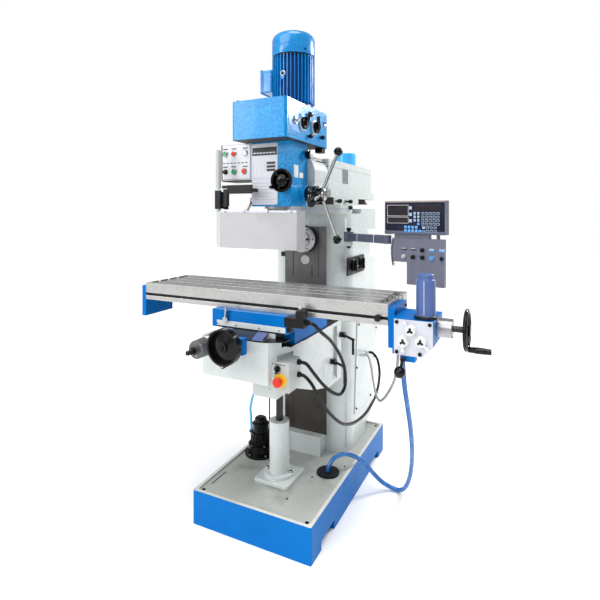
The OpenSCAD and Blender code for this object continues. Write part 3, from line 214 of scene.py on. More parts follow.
hose_pvc = finish("hose_pvc", (0.008, 0.13, 0.44), (0.03, 0.24, 0.60), 0.22, patch=14, coat=0.3,
                  clear=0.15)
hose_cyan = finish("hose_cyan", (0.16, 0.62, 0.90), (0.30, 0.72, 0.92), 0.22, patch=14, coat=0.3,
                   clear=0.15)
conduit_rubber = finish("conduit_rubber", (0.004, 0.004, 0.0045), (0.012, 0.012, 0.012), 0.34, grain=700,
                        bump=0.10, specular=0.3)
braided_sleeve = finish("braided_sleeve", (0.34, 0.34, 0.35), (0.22, 0.22, 0.23), 0.5, metallic=0.4,
                        grain=420, bump=0.8, dents=True)
DRAIN = [(206, -108, 160), (209, -105, 186), (229, -82, 219), (262, -44, 229), (290, -12, 217),
         (322, 22, 190), (352, 54, 152), (385, 84, 96), (424, 112, 46), (465, 134, 18), (508, 132, 15),
         (545, 104, 52), (575, 66, 120), (598, 18, 210), (620, -60, 334), (633, -150, 480),
         (638, -230, 610), (638, -290, 730), (638, -318, 830), (638, -320, 866), (638, -320, 900)]
SADDLE_WIRE = [(296, -528, 1010), (318, -526, 1004), (338, -490, 965), (347, -420, 918),
               (354, -345, 850), (359, -292, 780), (360, -268, 715), (356, -268, 665),
               (346, -300, 642), (328, -350, 665), (306, -405, 715), (282, -450, 775),
               (258, -472, 817), (230, -474, 822)]
KNEE_WIRE = [(230, -474, 768), (254, -474, 762), (286, -470, 728), (308, -450, 668), (328, -410, 608),
             (344, -350, 548), (354, -280, 500), (360, -180, 462), (360, -80, 440), (360, 20, 430),
             (358, 115, 434), (354, 213, 448), (348, 290, 480), (338, 352, 535), (318, 378, 600),
             (290, 381, 634), (266, 381, 638)]
FEED_WIRE = [(266, 298, 646), (288, 296, 640), (312, 262, 615), (345, 190, 585), (385, 90, 562),
             (430, -20, 556), (480, -130, 575), (530, -235, 630), (578, -325, 700), (622, -400, 780),
             (648, -452, 858), (655, -468, 900), (655, -470, 935)]
COOLANT = [(-264, -85, 264), (-265, -85, 292), (-270, -82, 336), (-276, -76, 384), (-272, -64, 430),
           (-266, -46, 474), (-272, -10, 504), (-292, 30, 520), (-312, 70, 522), (-320, 106, 518),
           (-316, 134, 514), (-303, 155, 511), (-284, 167, 510), (-262, 170, 510)]
for cord_name, points, thick, surface, rides, far_body in [
        ("drain_hose", DRAIN, 22, hose_pvc, "frame", "knee"),
        ("saddle_conduit", SADDLE_WIRE, 15, conduit_rubber, "saddle", "knee"),
        ("knee_conduit", KNEE_WIRE, 15, conduit_rubber, "knee", "frame"),
        ("feed_conduit", FEED_WIRE, 12, braided_sleeve, "frame", "knee"),
        ("coolant_hose", COOLANT, 15, hose_cyan, "frame", None)]:
    route = smooth_route(points)
    cord = piece(cord_name + "_run", tube_mesh(cord_name, route, thick / 2 * MM), None, [surface])
    if far_body:
        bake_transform(cord)
    else:
        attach(cord, rides)
    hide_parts(cord_name)

# The base: an iron casting with a coolant tank, enamelled azure outside and grey on its chip deck.
# The deck is scuffed and stained by oil, and a black rubber grommet lets the drain hose in.
# An eased casting is the CAD solid with its arrises rounded as a moulder and a painter leave them.
azure = finish("azure_enamel", (0.0, 0.140, 0.46), (0.0, 0.120, 0.40), 0.30, patch=3, grain=160,
               bump=0.02, specular=0.08)
deck_grey = finish("deck_grey", (0.38, 0.40, 0.38), (0.20, 0.19, 0.16), 0.42, patch=7, spread=0.52,
                   grain=350, bump=0.08)
rubber = finish("black_rubber_and_painted_shadow", (0.004, 0.004, 0.005), (0.012, 0.012, 0.012), 0.5, grain=500, bump=0.12,
                specular=0.25)


def eased(node, width, surfaces, pick=None, round_angle=28, cut=None):
    mesh = nodes[node].data.copy()
    mesh.materials.clear()
    shape = bmesh.new()
    shape.from_mesh(mesh)
    bmesh.ops.remove_doubles(shape, verts=shape.verts, dist=0.000004)
    if not cut:
        bmesh.ops.dissolve_limit(shape, angle_limit=math.radians(0.8), verts=shape.verts, edges=shape.edges)
    else:
        bmesh.ops.bisect_plane(shape, geom=shape.verts[:] + shape.edges[:] + shape.faces[:],
                               plane_co=(0, 0, cut * MM), plane_no=(0, 0, 1))
    for face in shape.faces:
        face.smooth = True
        face.material_index = pick(face.calc_center_median() / MM, face.normal) if pick else 0
    shape.to_mesh(mesh)
    shape.free()
    made = piece(node + "_eased", mesh, body_of_node[node], surfaces)
    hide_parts(node)
    edge = made.modifiers.new("arris", "BEVEL")
    edge.width = width * MM
    edge.segments = 2
    edge.limit_method = "ANGLE"
    edge.angle_limit = math.radians(round_angle)
    made.modifiers.new("shade", "WEIGHTED_NORMAL").keep_sharp = True
    mesh.set_sharp_from_angle(angle=math.radians(round_angle + 12))
    return made


DECK = 152
GROMMET = Vector((206, -108))
ANCHOR_X, ANCHOR_Y = 271.5, 497
rim_paint = finish("rim_paint", (0.60, 0.60, 0.56), (0.46, 0.45, 0.40), 0.4, patch=20, bump=0.06)


def base_pick(c, n):
    off = (c.xy - GROMMET).length
    if abs(abs(c.x) - ANCHOR_X) < 12 and abs(abs(c.y) - ANCHOR_Y) < 12 and abs(n.z) < 0.5:
        return 2
    if c.z > DECK + 0.5:
        return 2 if off < 20 or off < 60 and n.z < 0.5 else 3
    return 1 if n.z > 0.5 and c.z > DECK - 2 else 0


eased("base", 1.2, [azure, deck_grey, rubber, rim_paint], base_pick)

# The column: a hollow iron casting in greenish white enamel, with a dark oiled way down its front.
# The cover plate on its side is screwed on, and so is the plate of the two speed selectors.
# Screws here are turned socket heads; a turned piece is a profile spun round its axis.
white = finish("white_enamel", (0.56, 0.605, 0.60), (0.52, 0.56, 0.555), 0.24, patch=2.2, grain=130,
               coat=0.4)
oiled_way = finish("oiled_way", (0.040, 0.034, 0.028), (0.075, 0.065, 0.052), 0.36, metallic=0.3, patch=7,
                   grain=60, stretch=(8, 8, 0.6), bump=0.10)
steel = finish("bright_steel", (0.40, 0.40, 0.41), (0.28, 0.28, 0.29), 0.28, metallic=0.95, patch=20,
               stretch=(1, 1, 12), bump=0.05)
chrome = finish("chrome_plate", (0.46, 0.47, 0.48), (0.30, 0.31, 0.32), 0.09, metallic=1.0, patch=16,
                grain=200, bump=0.01)
black_oxide = finish("black_oxide", (0.006, 0.006, 0.007), (0.016, 0.016, 0.016), 0.36, grain=500,
                     bump=0.08, specular=0.3)
UP, FRONT, RIGHT = (0, 0, 1), (0, -1, 0), (1, 0, 0)


def blocks_mesh(name, matrices):
    mesh = bpy.data.meshes.new(name)
    shape = bmesh.new()
    for matrix in matrices:
        bmesh.ops.create_cube(shape, size=1, matrix=matrix)
    shape.to_mesh(mesh)
    shape.free()
    return mesh


def slabs(name, blocks, body, surface, width=0.8):
    matrices = []
    for low, high in blocks:
        low, high = Vector(low) * MM, Vector(high) * MM
        matrices.append(Matrix.Translation((low + high) / 2) @ Matrix.Diagonal((*(high - low), 1)))
    made = piece(name, blocks_mesh(name, matrices), body, [surface])
    edge = made.modifiers.new("arris", "BEVEL")
    edge.width = width * MM
    edge.segments = 2
    return made


def turned(name, profile, places, axis, body, surface, sides=28):
    mesh = bpy.data.meshes.new(name)
    turn = Vector(UP).rotation_difference(Vector(axis)).to_matrix()
    verts = []
    faces = []
    for place in places:
        first = len(verts)
        for r, h in profile:
            for k in range(sides):
                a = k * math.tau / sides
                spot = Vector((max(r, 0.01) * math.cos(a), max(r, 0.01) * math.sin(a), h))
                verts.append((Vector(place) + turn @ spot) * MM)
        for i in range(len(profile) - 1):
            for k in range(sides):
                low = first + i * sides
                faces.append((low + k, low + (k + 1) % sides, low + sides + (k + 1) % sides,
                              low + sides + k))
        last = first + (len(profile) - 1) * sides
        faces.append(tuple(first + k for k in reversed(range(sides))))
        faces.append(tuple(last + k for k in range(sides)))
    mesh.from_pydata(verts, [], faces)
    mesh.update()
    for face in mesh.polygons:
        face.use_smooth = True
    mesh.set_sharp_from_angle(angle=math.radians(35))
    return piece(name, mesh, body, [surface])


def screw_heads(name, places, axis, body, r=6, surface=None):
    profile = [(r, -1), (r, r * 0.75), (r * 0.85, r * 0.95), (r * 0.5, r * 0.95), (r * 0.48, r * 0.3),
               (0, r * 0.3)]
    return turned(name, profile, places, axis, body, surface or black_oxide, sides=16)


slabs("deck_drain_slot", [((-267, -446, 151), (-261, -330, 152.4))], "frame", rubber, 0.3)
screw_heads("deck_screws", [(120, -390, DECK), (150, -180, DECK), (262, -20, DECK)], UP, "frame", 4)
WAY_FACE, WAY_CHANGE = 57, 700


def column_pick(c, n):
    if abs(c.x) < 130 and WAY_FACE - 1 < c.y < WAY_FACE + 0.5 and c.z > 254 and n.y < -0.9:
        return 1 if c.z < WAY_CHANGE else 4
    if c.z > 1240 and c.y < WAY_FACE + 1 and abs(c.x) < 77:
        return 2
    if c.x > 236.5 and 1120 < c.z < 1230:
        return 3
    if c.x < -240:
        return 2
    return 0


ground_way = finish("ground_way", (0.13, 0.128, 0.125), (0.09, 0.088, 0.084), 0.32, metallic=0.4, patch=7,
                    grain=60, stretch=(8, 8, 0.6), bump=0.10)
eased("column", 4, [white, oiled_way, steel, black_oxide, ground_way], column_pick, cut=WAY_CHANGE)

# Corner skins: enamelled sheet, 3 mm thick, on the column's rounded front corners, from deck to spindle.
# The real casting is whole there. The hollow of the solid comes through that wall, and they close the slit.
CORNER_X, CORNER_Y, CORNER_R = 136, 192, 99.8
SKIN_FOOT, SKIN_TOP = 165, 1450
for side, strip_name in ((-1, "left_corner_skin"), (1, "right_corner_skin")):
    mesh = bpy.data.meshes.new(strip_name)
    shape = bmesh.new()
    rows = []
    for turn in range(-49, -30, 3):
        a = math.radians(turn)
        x, y = side * (CORNER_X + CORNER_R * math.cos(a)), CORNER_Y + CORNER_R * math.sin(a)
        rows.append([shape.verts.new(Vector((x, y, z)) * MM) for z in (SKIN_FOOT, SKIN_TOP)])
    for near, far in zip(rows, rows[1:]):
        ring = (near[0], far[0], far[1], near[1])
        shape.faces.new(ring if side > 0 else ring[::-1]).smooth = True
    shape.to_mesh(mesh)
    shape.free()
    piece(strip_name, mesh, "frame", [white]).modifiers.new("wall", "SOLIDIFY").thickness = 3 * MM

# On the column: the screwed cover plate, a steel plug in the way, the ring round the horizontal spindle
# with its screws, a black stop on the way's edge, and the grooves between the way and its guides.
eased("column_cover", 2, [white])
COVER_FACE = 242
cover_screws = [(218, 360), (478, 345), (560, 560), (596, 735), (582, 832), (262, 826), (224, 590)]
screw_heads("cover_screws", [(COVER_FACE, y, z) for y, z in cover_screws], RIGHT, "frame", 6)
turned("way_plug", [(27, -2), (27, 2), (25, 3.5), (8, 3.5), (7, 1), (0, 1)], [(1, WAY_FACE, 1207)], FRONT,
       "frame", steel)
SPINDLE_Z, RING_SCREW_R = 1322, 61
turned("spindle_ring", [(75, 0), (75, 4), (72, 6), (57, 6), (55, 3), (43, 3), (43, 0)],
       [(0, 25, SPINDLE_Z)], FRONT, "frame", steel)
ring_screws = [(RING_SCREW_R * math.cos(math.radians(a)), 20,
                SPINDLE_Z + RING_SCREW_R * math.sin(math.radians(a))) for a in range(0, 360, 60)]
turned("spindle_ring_rim", [(76, 2), (76, 30), (75, 31), (74, 31)], [(0, WAY_FACE, SPINDLE_Z)], FRONT,
       "frame", black_oxide, sides=48)
screw_heads("ring_screws", ring_screws, FRONT, "frame", 4)
slabs("way_stop", [((-156, 60, 1219), (-136, 88, 1245))], "frame", black_oxide, 2)
slabs("way_grooves", [((-78, 56.75, 1114), (-73, 57.4, 1388)), ((78, 56.75, 1114), (81, 57.4, 1388)),
                      ((-74, 56.8, 262), (-71, 57.4, 1010)), ((38, 56.75, 1114), (43, 57.4, 1180))],
      "frame", black_oxide, 0.3)

# Speed selectors: two black moulded knobs that turn over a dark plate, between plain white tick marks.
# The bar across each knob is its grip, with a white line that points at the chosen speed.
bakelite = finish("black_bakelite", (0.004, 0.004, 0.005), (0.010, 0.010, 0.010), 0.16, grain=200,
                  bump=0.02, coat=0.1, specular=0.2)
white_ink = finish("white_ink", (0.78, 0.78, 0.76), (0.62, 0.62, 0.60), 0.5, grain=400, bump=0.02)
black_ink = finish("black_ink", (0.02, 0.02, 0.025), (0.05, 0.05, 0.05), 0.5, grain=400, bump=0.02)


def tick_ring(name, centre, axis, radius, count, long, body, surface, first=0, sweep=360, wide=1.2,
              raised=0.6):
    turn = Vector(UP).rotation_difference(Vector(axis)).to_matrix().to_4x4()
    matrices = []
    for k in range(count):
        a = math.radians(first + sweep * k / max(count - (sweep < 360), 1))
        reach = long if k % 5 == 0 else long * 0.6
        local = Matrix.Rotation(a, 4, "Z") @ Matrix.Translation(Vector((radius - reach / 2, 0, 0)) * MM)
        size = Matrix.Diagonal((reach * MM, wide * MM, raised * MM, 1))
        matrices.append(Matrix.Translation(Vector(centre) * MM) @ turn @ local @ size)
    return piece(name, blocks_mesh(name, matrices), body, [surface])


for y, label in [(150, "upper"), (275, "lower")]:
    node = label + "_speed_selector"
    eased(node, 1.5, [bakelite])
    slabs(label + "_selector_line", [((281, y - 26, 1177), (283.4, y - 8, 1179))], node, white_ink, 0.3)
    tick_ring(label + "_selector_marks", (244.2, y, 1178), RIGHT, 44, 9, 8, "frame", white_ink, first=150,
              sweep=240)

# The horizontal spindle: hardened steel with a taper, turning in the ring on the column's face.
# The two drive keys on its nose are screwed into slots.
eased("horizontal_spindle", 1, [steel])
slabs("arbor_keys", [((24, 13, 1316), (38, 20, 1328)), ((-38, 13, 1316), (-24, 20, 1328))],
      "horizontal_spindle", black_oxide, 1)

# The pedestal and the elevating screw: a painted tube that holds the nut, with a threaded steel screw.
# The screw's thread is a true helix, black with grease.
SCREW_Y, PEDESTAL_BOLT_R = -243, 62
eased("screw_pedestal", 2.5, [white])
bolt_spots = [(PEDESTAL_BOLT_R * math.cos(math.radians(a)),
               SCREW_Y + PEDESTAL_BOLT_R * math.sin(math.radians(a)), 186) for a in (2, 193)]
screw_heads("pedestal_bolts", bolt_spots, UP, "frame", 9, chrome)
greased = finish("greased_steel", (0.035, 0.032, 0.030), (0.12, 0.11, 0.10), 0.30, metallic=0.8,
                 patch=22, grain=250, bump=0.10)


def repaint(node, surface):
    nodes[node].data.materials.clear()
    nodes[node].data.materials.append(surface)


def thread_mesh(name, at, radius, depth, pitch, low, high, sides=20):
    turns = int((high - low) / pitch)
    step = pitch / sides
    verts, faces = [], []
    rows = turns * sides
    profile = [(0, 0), (0.16, 1), (0.5, 1), (0.66, 0)]
    for i in range(rows + 1):
        a = i * math.tau / sides
        for share, out in profile:
            r = radius - depth + depth * out
            z = low + i * step + share * pitch
            verts.append((Vector(at) + Vector((r * math.cos(a), r * math.sin(a), z))) * MM)
    for i in range(rows):
        for k in range(len(profile) - 1):
            b = i * len(profile) + k
            faces.append((b, b + len(profile), b + len(profile) + 1, b + 1))
    mesh = bpy.data.meshes.new(name)
    mesh.from_pydata(verts, [], faces)
    return mesh


piece("elevating_thread", thread_mesh("elevating_thread", (0, SCREW_Y, 0), 18.2, 2.6, 9, 292, 570),
      "elevating_screw", [greased])
repaint("elevating_screw", greased)

# The coolant pump: a glossy black motor in steps on a bolted flange over the tank.
# A thin black pipe rises beside it, and its hose leaves by an elbow on its left.
PUMP = (-204, -85)
gloss_black = finish("gloss_black", (0.004, 0.004, 0.005), (0.010, 0.010, 0.011), 0.10, patch=12,
                     grain=220, coat=0.1, specular=0.18)
eased("coolant_pump", 3, [gloss_black])
turned("pump_bands", [(51, 108), (53, 110), (53, 117), (48, 119), (43, 119), (43, 156), (45, 158),
                      (45, 165), (40, 170), (33, 171), (33, 186), (28, 192), (0, 193)], [(*PUMP, DECK)],
       UP, "frame", gloss_black, sides=40)
tick_ring("pump_ribs", (*PUMP, 234), UP, 55, 20, 6, "frame", gloss_black, wide=2.4, raised=48)
screw_heads("pump_screws", [(PUMP[0] + r * math.cos(a), PUMP[1] + r * math.sin(a), z)
                            for r, z in ((77, 164), (59, 207)) for a in (0.6, 1.9, 3.2, 4.4, 5.6)], UP,
            "frame", 5, steel)
turned("pump_elbow_nut", [(13, 0), (13, 9)], [(-264, -85, 252)], UP, "frame", gloss_black, sides=6)
piece("pump_pipe", tube_mesh("pump_pipe", [Vector((-117, -140, z)) * MM for z in (DECK, 320, 485)],
                             0.004), "frame", [black_oxide])

# The knee: a white casting that climbs the column's way, with ground ways on top for the saddle.
# Sheet way covers in blue grey and black lie on its front, and oil pipes run down its side.
# The blue block on its face is the bearing of the cross feed screw.
cover_blue = finish("cover_blue", (0.11, 0.15, 0.33), (0.17, 0.21, 0.38), 0.30, metallic=0.2, grain=260,
                    bump=0.05)
cover_dark = finish("cover_dark", (0.018, 0.026, 0.045), (0.04, 0.05, 0.07), 0.30, grain=260, bump=0.05)


def sheet(name, corners, thick, body, surface):
    corners = [Vector(c) * MM for c in corners]
    down = (corners[1] - corners[0]).cross(corners[2] - corners[1]).normalized() * thick * MM
    mesh = bpy.data.meshes.new(name)
    count = len(corners)
    faces = [tuple(range(count)), tuple(reversed(range(count, 2 * count)))]
    faces += [(k, k + count, (k + 1) % count + count, (k + 1) % count) for k in range(count)]
    mesh.from_pydata(corners + [c - down for c in corners], [], faces)
    return piece(name, mesh, body, [surface])


def knee_pick(c, n):
    if c.y < -600.5 and abs(c.x) < 40:
        return 1
    if c.z > 885 and c.y > -520 and n.z > -0.5:
        return 2
    if abs(c.x) < 140 and c.y > 20:
        return 2
    return 0


eased("knee", 4, [white, azure, oiled_way], knee_pick)
for cover, x0, x1, surface in [("left", -125, -75, cover_blue), ("middle", -75, 55, cover_dark),
                               ("right", 55, 105, cover_blue)]:
    sheet("way_cover_" + cover, [(x0, -599, 926), (x1, -599, 926), (x1, -536, 951), (x0, -536, 951)], 2,
          "knee", surface)
slabs("way_cover_wipers", [((-128, -600, 922), (108, -596, 927.5)), ((-170, -590, 922), (-130, -536, 928))],
      "knee", black_oxide, 0.6)
sheet("knee_flap_right", [(112, -598, 927), (200, -560, 927), (200, -508, 927), (112, -508, 927)], 4,
      "knee", black_oxide)
slabs("chip_tray", [((142, -500, 888), (198, -60, 891)), ((-198, -500, 888), (-142, -60, 891))],
      "knee", oiled_way, 1)
for k, (y, drop) in enumerate([(-20, 250), (-4, 262), (12, 274)]):
    piece(f"oil_pipe_{k + 1}", tube_mesh(f"oil_pipe_{k + 1}",
          smooth_route([(204.5, y, 870), (205, y, 820), (205, y + 2, 760), (205, y, 870 - drop)]), 0.0022),
          "knee", [steel])
screw_heads("bearing_screws", [(s * 27, -630, z) for s in (-1, 1) for z in (875, 928)], FRONT, "knee",
            4.5)

# The operator's box on the knee: folded white sheet with a rotary switch and a red emergency stop.
# It is screwed to the knee by its corners, and its two conduits leave by black glands on the right.
box_white = finish("box_white", (0.46, 0.475, 0.475), (0.42, 0.435, 0.435), 0.34, patch=5, grain=240,
                   bump=0.05)
yellow = finish("yellow_plastic", (0.80, 0.48, 0.02), (0.70, 0.40, 0.02), 0.3)
red = finish("red_plastic", (0.68, 0.025, 0.006), (0.54, 0.018, 0.006), 0.24, grain=250, bump=0.02,
             specular=0.3)
green = finish("green_plastic", (0.008, 0.30, 0.09), (0.008, 0.22, 0.06), 0.22, grain=250, bump=0.02)


def panel_pick(c, n):
    if c.x > 219:
        return 1
    return 2 if c.y < -560.4 else 0


eased("knee_panel_box", 1.5, [box_white, rubber, yellow], panel_pick)
eased("emergency_button", 4, [red])
eased("panel_switch", 1, [bakelite])
slabs("panel_legends", [((136 + 14 * k, -560.6, 826), (144 + 14 * k, -559.8, 830)) for k in range(5)]
      + [((146, -560.6, 786), (176, -559.8, 789))], "knee", black_ink, 0.2)
screw_heads("panel_screws", [(x, -560, z) for z in (832, 718) for x in (124, 212)], FRONT, "knee", 2.6,
            steel)

# Knee controls: a steel crank shaft with a graduated dial between two knurled rings, and two black
# clamp levers. The shaft ends in a square for the loose crank handle.
# The bright clamp levers of the quill and the saddle are made the same way.
CRANK = (-150, 888)


def crank_pick(c, n):
    if c.y < -724.5:
        return 2
    return 1 if -655 < c.y < -625 else 0


knurled = finish("knurled_steel", (0.12, 0.12, 0.122), (0.36, 0.36, 0.355), 0.34, metallic=0.5, patch=90,
                 bump=0.1)
eased("knee_crank", 1.5, [knurled, white_ink, black_oxide], crank_pick)
for ring, middle, radius, wide in [("front", -681, 39.4, 48), ("rear", -613.5, 42.4, 20)]:
    tick_ring("knee_knurl_" + ring, (CRANK[0], middle, CRANK[1]), FRONT, radius, 64, 1.2, "knee_crank",
              knurled, wide=1.7, raised=wide)
tick_ring("knee_dial_marks", (CRANK[0], -647, CRANK[1]), FRONT, 40.4, 50, 0.8, "knee_crank", black_ink,
          wide=0.7, raised=12)
turned("knee_dial_seams", [(40.6, 0), (40.6, 2.5)], [(CRANK[0], -652.5, CRANK[1])], FRONT, "knee_crank",
       black_oxide, sides=48)
for lever in ("front_knee_lock", "rear_knee_lock"):
    eased(lever, 1, [bakelite])
eased("quill_lock", 1, [chrome])
turned("quill_lock_ball", [(1, -11), (7, -9), (11, -3), (11, 3), (7, 9), (1, 11)], [(-147, -316, 1474)],
       UP, "quill_lock", chrome)
eased("saddle_lock", 1, [chrome, bakelite], lambda c, n: 1 if c.z < 968 or c.z > 1040 else 0)

# The cross handwheel: a dished black wheel with a lug for its handle, on a graduated dial.
# The hub is held by a black nut, and the screw behind it is dark with grease.
eased("cross_handwheel", 2, [gloss_black, steel], lambda c, n: 1 if c.y > -694.5 else 0)
turned("cross_wheel_nut", [(11, 0), (11, 4), (8, 5), (6, 2), (0, 2)], [(0, -735, 921)], FRONT,
       "cross_feed", gloss_black, sides=6)
turned("cross_lug_face", [(6.5, 0), (6.5, 1.2), (5, 1.6), (0, 1.6)], [(0, -729, 845)], FRONT,
       "cross_feed", chrome)
tick_ring("cross_dial_marks", (0, -695.2, 921), FRONT, 35.5, 40, 7, "cross_feed", black_ink, wide=0.7)
repaint("cross_feed_screw", greased)

# The saddle: an azure casting between knee and table, with a white scraper strip along its front.
# A limit switch with a black plastic head is screwed to its right side.
eased("saddle", 3, [azure, oiled_way], lambda c, n: 1 if c.z > 1029.5 or c.z < 949.5 and n.z < -0.5 else 0)
slabs("scraper_strip", [((-165, -540, 956), (190, -536, 980))], "saddle", white, 1)
slabs("scraper_rubber", [((-160, -539, 950), (188, -536, 956))], "saddle", rubber, 0.6)
screw_heads("scraper_screws", [(x, -540, 965) for x in (-160, -60, 60, 160)], FRONT, "saddle", 3)
eased("limit_switch", 2, [rubber])
turned("switch_roller", [(9, -4), (9, 4), (7, 5), (0, 5)], [(262, -540, 1069)], FRONT, "saddle", steel)

# The table: ground iron with three T-slots, a stop groove in front and azure brackets at its ends.
# The ground top shows fine scraping, and the stop groove in front is black.
ground = finish("ground_iron", (0.47, 0.47, 0.46), (0.36, 0.36, 0.35), 0.26, metallic=0.75, patch=12,
                grain=90, stretch=(0.6, 8, 8), bump=0.06)


def table_pick(c, n):
    if c.y < -501:
        return 1
    if c.y < -489 and c.z < 1064 and c.z > 1048 or c.z < 1054 and c.z > 1028.3 and abs(n.y) < 0.9:
        return 1
    return 0


eased("table", 1.5, [ground, black_oxide], table_pick)
eased("left_end_bracket", 3, [azure])
eased("right_end_bracket", 3, [azure, rubber], lambda c, n: 1 if c.z < 942 else 0)
screw_heads("bracket_screws", [(650, y, z) for y in (-485, -320) for z in (970, 1080)], RIGHT, "table", 6)
turned("table_stop", [(14, 0), (14, 3), (8, 4), (8, 8), (0, 8)], [(584, -512, 1056)], FRONT, "table",
       black_oxide, sides=6)
repaint("table_lead_screw", greased)

# The power feed: an azure gearbox with an aluminium face plate, three dials and a feed motor.
# Each dial is a white disc under a white knob with three black arms; the engage lever is black.
plate_metal = finish("plate_aluminium", (0.58, 0.60, 0.66), (0.52, 0.54, 0.60), 0.40, metallic=0.1,
                     patch=10, stretch=(8, 1, 1), bump=0.05)
motor_grey = finish("motor_grey", (0.58, 0.60, 0.61), (0.48, 0.50, 0.50), 0.36, metallic=0.3, grain=260,
                    bump=0.08)
eased("feed_gearbox", 4, [azure])
eased("feed_gearbox_plate", 1, [plate_metal])
FEED_FACE = -540
feed_plate_screws = [(669, 1058), (792, 1058), (669, 945), (756, 945)]
screw_heads("feed_plate_screws", [(x, FEED_FACE, z) for x, z in feed_plate_screws], FRONT, "table", 7)
slate_blue = finish("slate_blue", (0.06, 0.11, 0.30), (0.09, 0.15, 0.36), 0.34, patch=6, grain=260,
                    bump=0.06)
eased("feed_motor", 3, [slate_blue, black_oxide], lambda c, n: 1 if c.z < 1081 else 0)
slabs("feed_motor_ribs", [((728.5, -481.5, 1086), (803.5, -478.5, 1214)),
                          ((764.5, -517.5, 1086), (767.5, -442.5, 1214))], "table", motor_grey, 1)
dial_white = finish("dial_white", (0.74, 0.76, 0.76), (0.62, 0.64, 0.64), 0.25, grain=260)
for k, (x, z) in enumerate([(722, 1031), (695, 987), (760, 992)]):
    name = f"feed_dial_{k + 1}"
    turned(name + "_disc", [(21, 0), (21, 2), (19, 3), (0, 3)], [(x, FEED_FACE, z)], FRONT, "table",
           white_ink)
    repaint(name, dial_white)
    tick_ring(name + "_marks", (x, FEED_FACE - 3.2, z), FRONT, 20, 12, 3, "table", black_ink, wide=0.8)
    spot = Vector((x, FEED_FACE - 17.5, z))
    for j in range(3):
        arm = Matrix.Rotation(math.radians(120 * j), 3, "Y") @ Vector((0, 0, 11))
        piece(f"{name}_arm_{j + 1}", tube_mesh(name, [spot * MM, (spot + arm) * MM], 0.0042), name,
              [bakelite])
eased("feed_engage_lever", 1, [bakelite])

# The table crank: a black handwheel with three spokes on a bright graduated dial.
# Its handle turns freely on a steel pin.
eased("table_crank", 1, [bakelite, steel], lambda c, n: 1 if c.x < 859 else 0)
tick_ring("table_dial_marks", (858.2, -435, 1028), RIGHT, 36.5, 40, 7, "table_feed", black_ink, wide=0.7)
turned("crank_grip", [(7, 0), (10, 6), (12.5, 30), (12, 60), (9, 78), (5, 82), (0, 82)],
       [(914, -435, 956)], RIGHT, "table_feed", bakelite)

# The turret: a white ring with a scale in degrees, clamped by bright bolts.
# The ram slides in its dovetail, and the dark gap is the oiled slideway.
eased("turret", 3, [white, oiled_way], lambda c, n: 1 if c.z > 1513 and abs(c.x) < 121 else 0)
TURRET_Y, SCALE_R, BOLT_R, MARK_COUNT = 220, 205.4, 190.65, 120
turned("turret_scale", [(SCALE_R, 14), (SCALE_R, 32)], [(0, TURRET_Y, 1462)], UP, "turret", plate_metal,
       sides=96)
marks = []
for k in range(MARK_COUNT):
    tall = 12 if k % 10 == 0 else 7
    marks.append(Matrix.Translation((0, TURRET_Y * MM, 0))
                 @ Matrix.Rotation(k * math.tau / MARK_COUNT, 4, "Z")
                 @ Matrix.Translation(Vector((SCALE_R + 0.3, 0, 1492 - tall / 2)) * MM)
                 @ Matrix.Diagonal((0.0008, 0.0012, tall * MM, 1)))
piece("turret_marks", blocks_mesh("turret_marks", marks), "turret", [black_ink])
screw_heads("turret_side_screws", [(185, y, 1531) for y in (70, 112, 180)], RIGHT, "turret", 10, chrome)
turned("turret_clamp_knobs", [(5, 0), (5, 12), (11, 16), (12, 30), (9, 36), (0, 37)],
       [(186, 43, 1531), (186, 208, 1531), (186, 208, 1496)], RIGHT, "turret", bakelite)
turned("turret_bolts", [(11, -2), (11, 12), (8, 14), (0, 14)],
       [(BOLT_R * math.cos(a), TURRET_Y + BOLT_R * math.sin(a), 1512) for a in (-0.75, 0.75, 2.4, 3.9)],
       UP, "turret", chrome, sides=6)

# The ram: a long white box over a ledge, with louvres on its side for the belt drive's air.
# The pale blue cap at its rear is the fan cover of the horizontal spindle's motor.
pale_blue = finish("pale_blue", (0.05, 0.42, 0.86), (0.04, 0.36, 0.78), 0.22, patch=5, grain=200,
                   coat=0.3)
eased("ram", 4, [white, oiled_way], lambda c, n: 1 if c.z < 1551.5 else 0)
louvre_y = range(240, 338, 14)
slabs("ram_louvre_slots", [((149, y, 1636 + 3 * (k % 2)), (150.5, y + 4, 1722))
                           for k, y in enumerate(louvre_y)], "ram", black_oxide, 0.3)
slabs("ram_louvre_lips", [((149, y + 4, 1636), (152.5, y + 6.5, 1722)) for y in louvre_y], "ram", white,
      0.6)
slabs("ram_cover_seam", [((-150.6, 30, 1719), (150.6, 785.5, 1720.2))], "ram", black_ink, 0.2)
eased("ram_motor", 4, [pale_blue])
turned("ram_motor_grille", [(40 - 7 * (k // 2), 0.4 + 1.2 * (k % 2)) for k in range(8)], [(0, 700, 1865)],
       UP, "ram", black_oxide)

# The head: a housing for the quill, a gearbox over it and a fan-cooled motor on top.
# All are cast iron in azure hammertone enamel, and the printed plate in front is aluminium.
# The plate carries only rules, boxes and bars, as a blank form would.
hammer_blue = finish("hammer_blue", (0.0, 0.20, 0.54), (0.03, 0.38, 0.74), 0.20, patch=110, spread=0.42,
                     grain=170, bump=0.45, dents=True, coat=0.15, specular=0.25)
# This darker blue is painted shade, for the motor's core in the gaps between its fins.
fin_gap_painted_shade = finish("fin_gap_painted_shade", (0.0, 0.04, 0.20), (0.0, 0.05, 0.26), 0.3, patch=8, grain=220,
                     bump=0.06)
motor_blue = finish("motor_blue", (0.0, 0.22, 0.58), (0.006, 0.32, 0.72), 0.22, patch=8, grain=220,
                    bump=0.06, coat=0.4)


def housing_pick(c, n):
    if c.x < -150:
        return 2 if c.x < -198 else 1
    if c.y < -330.5:
        return 1
    if c.z < 1499.6:
        return 3
    return 0


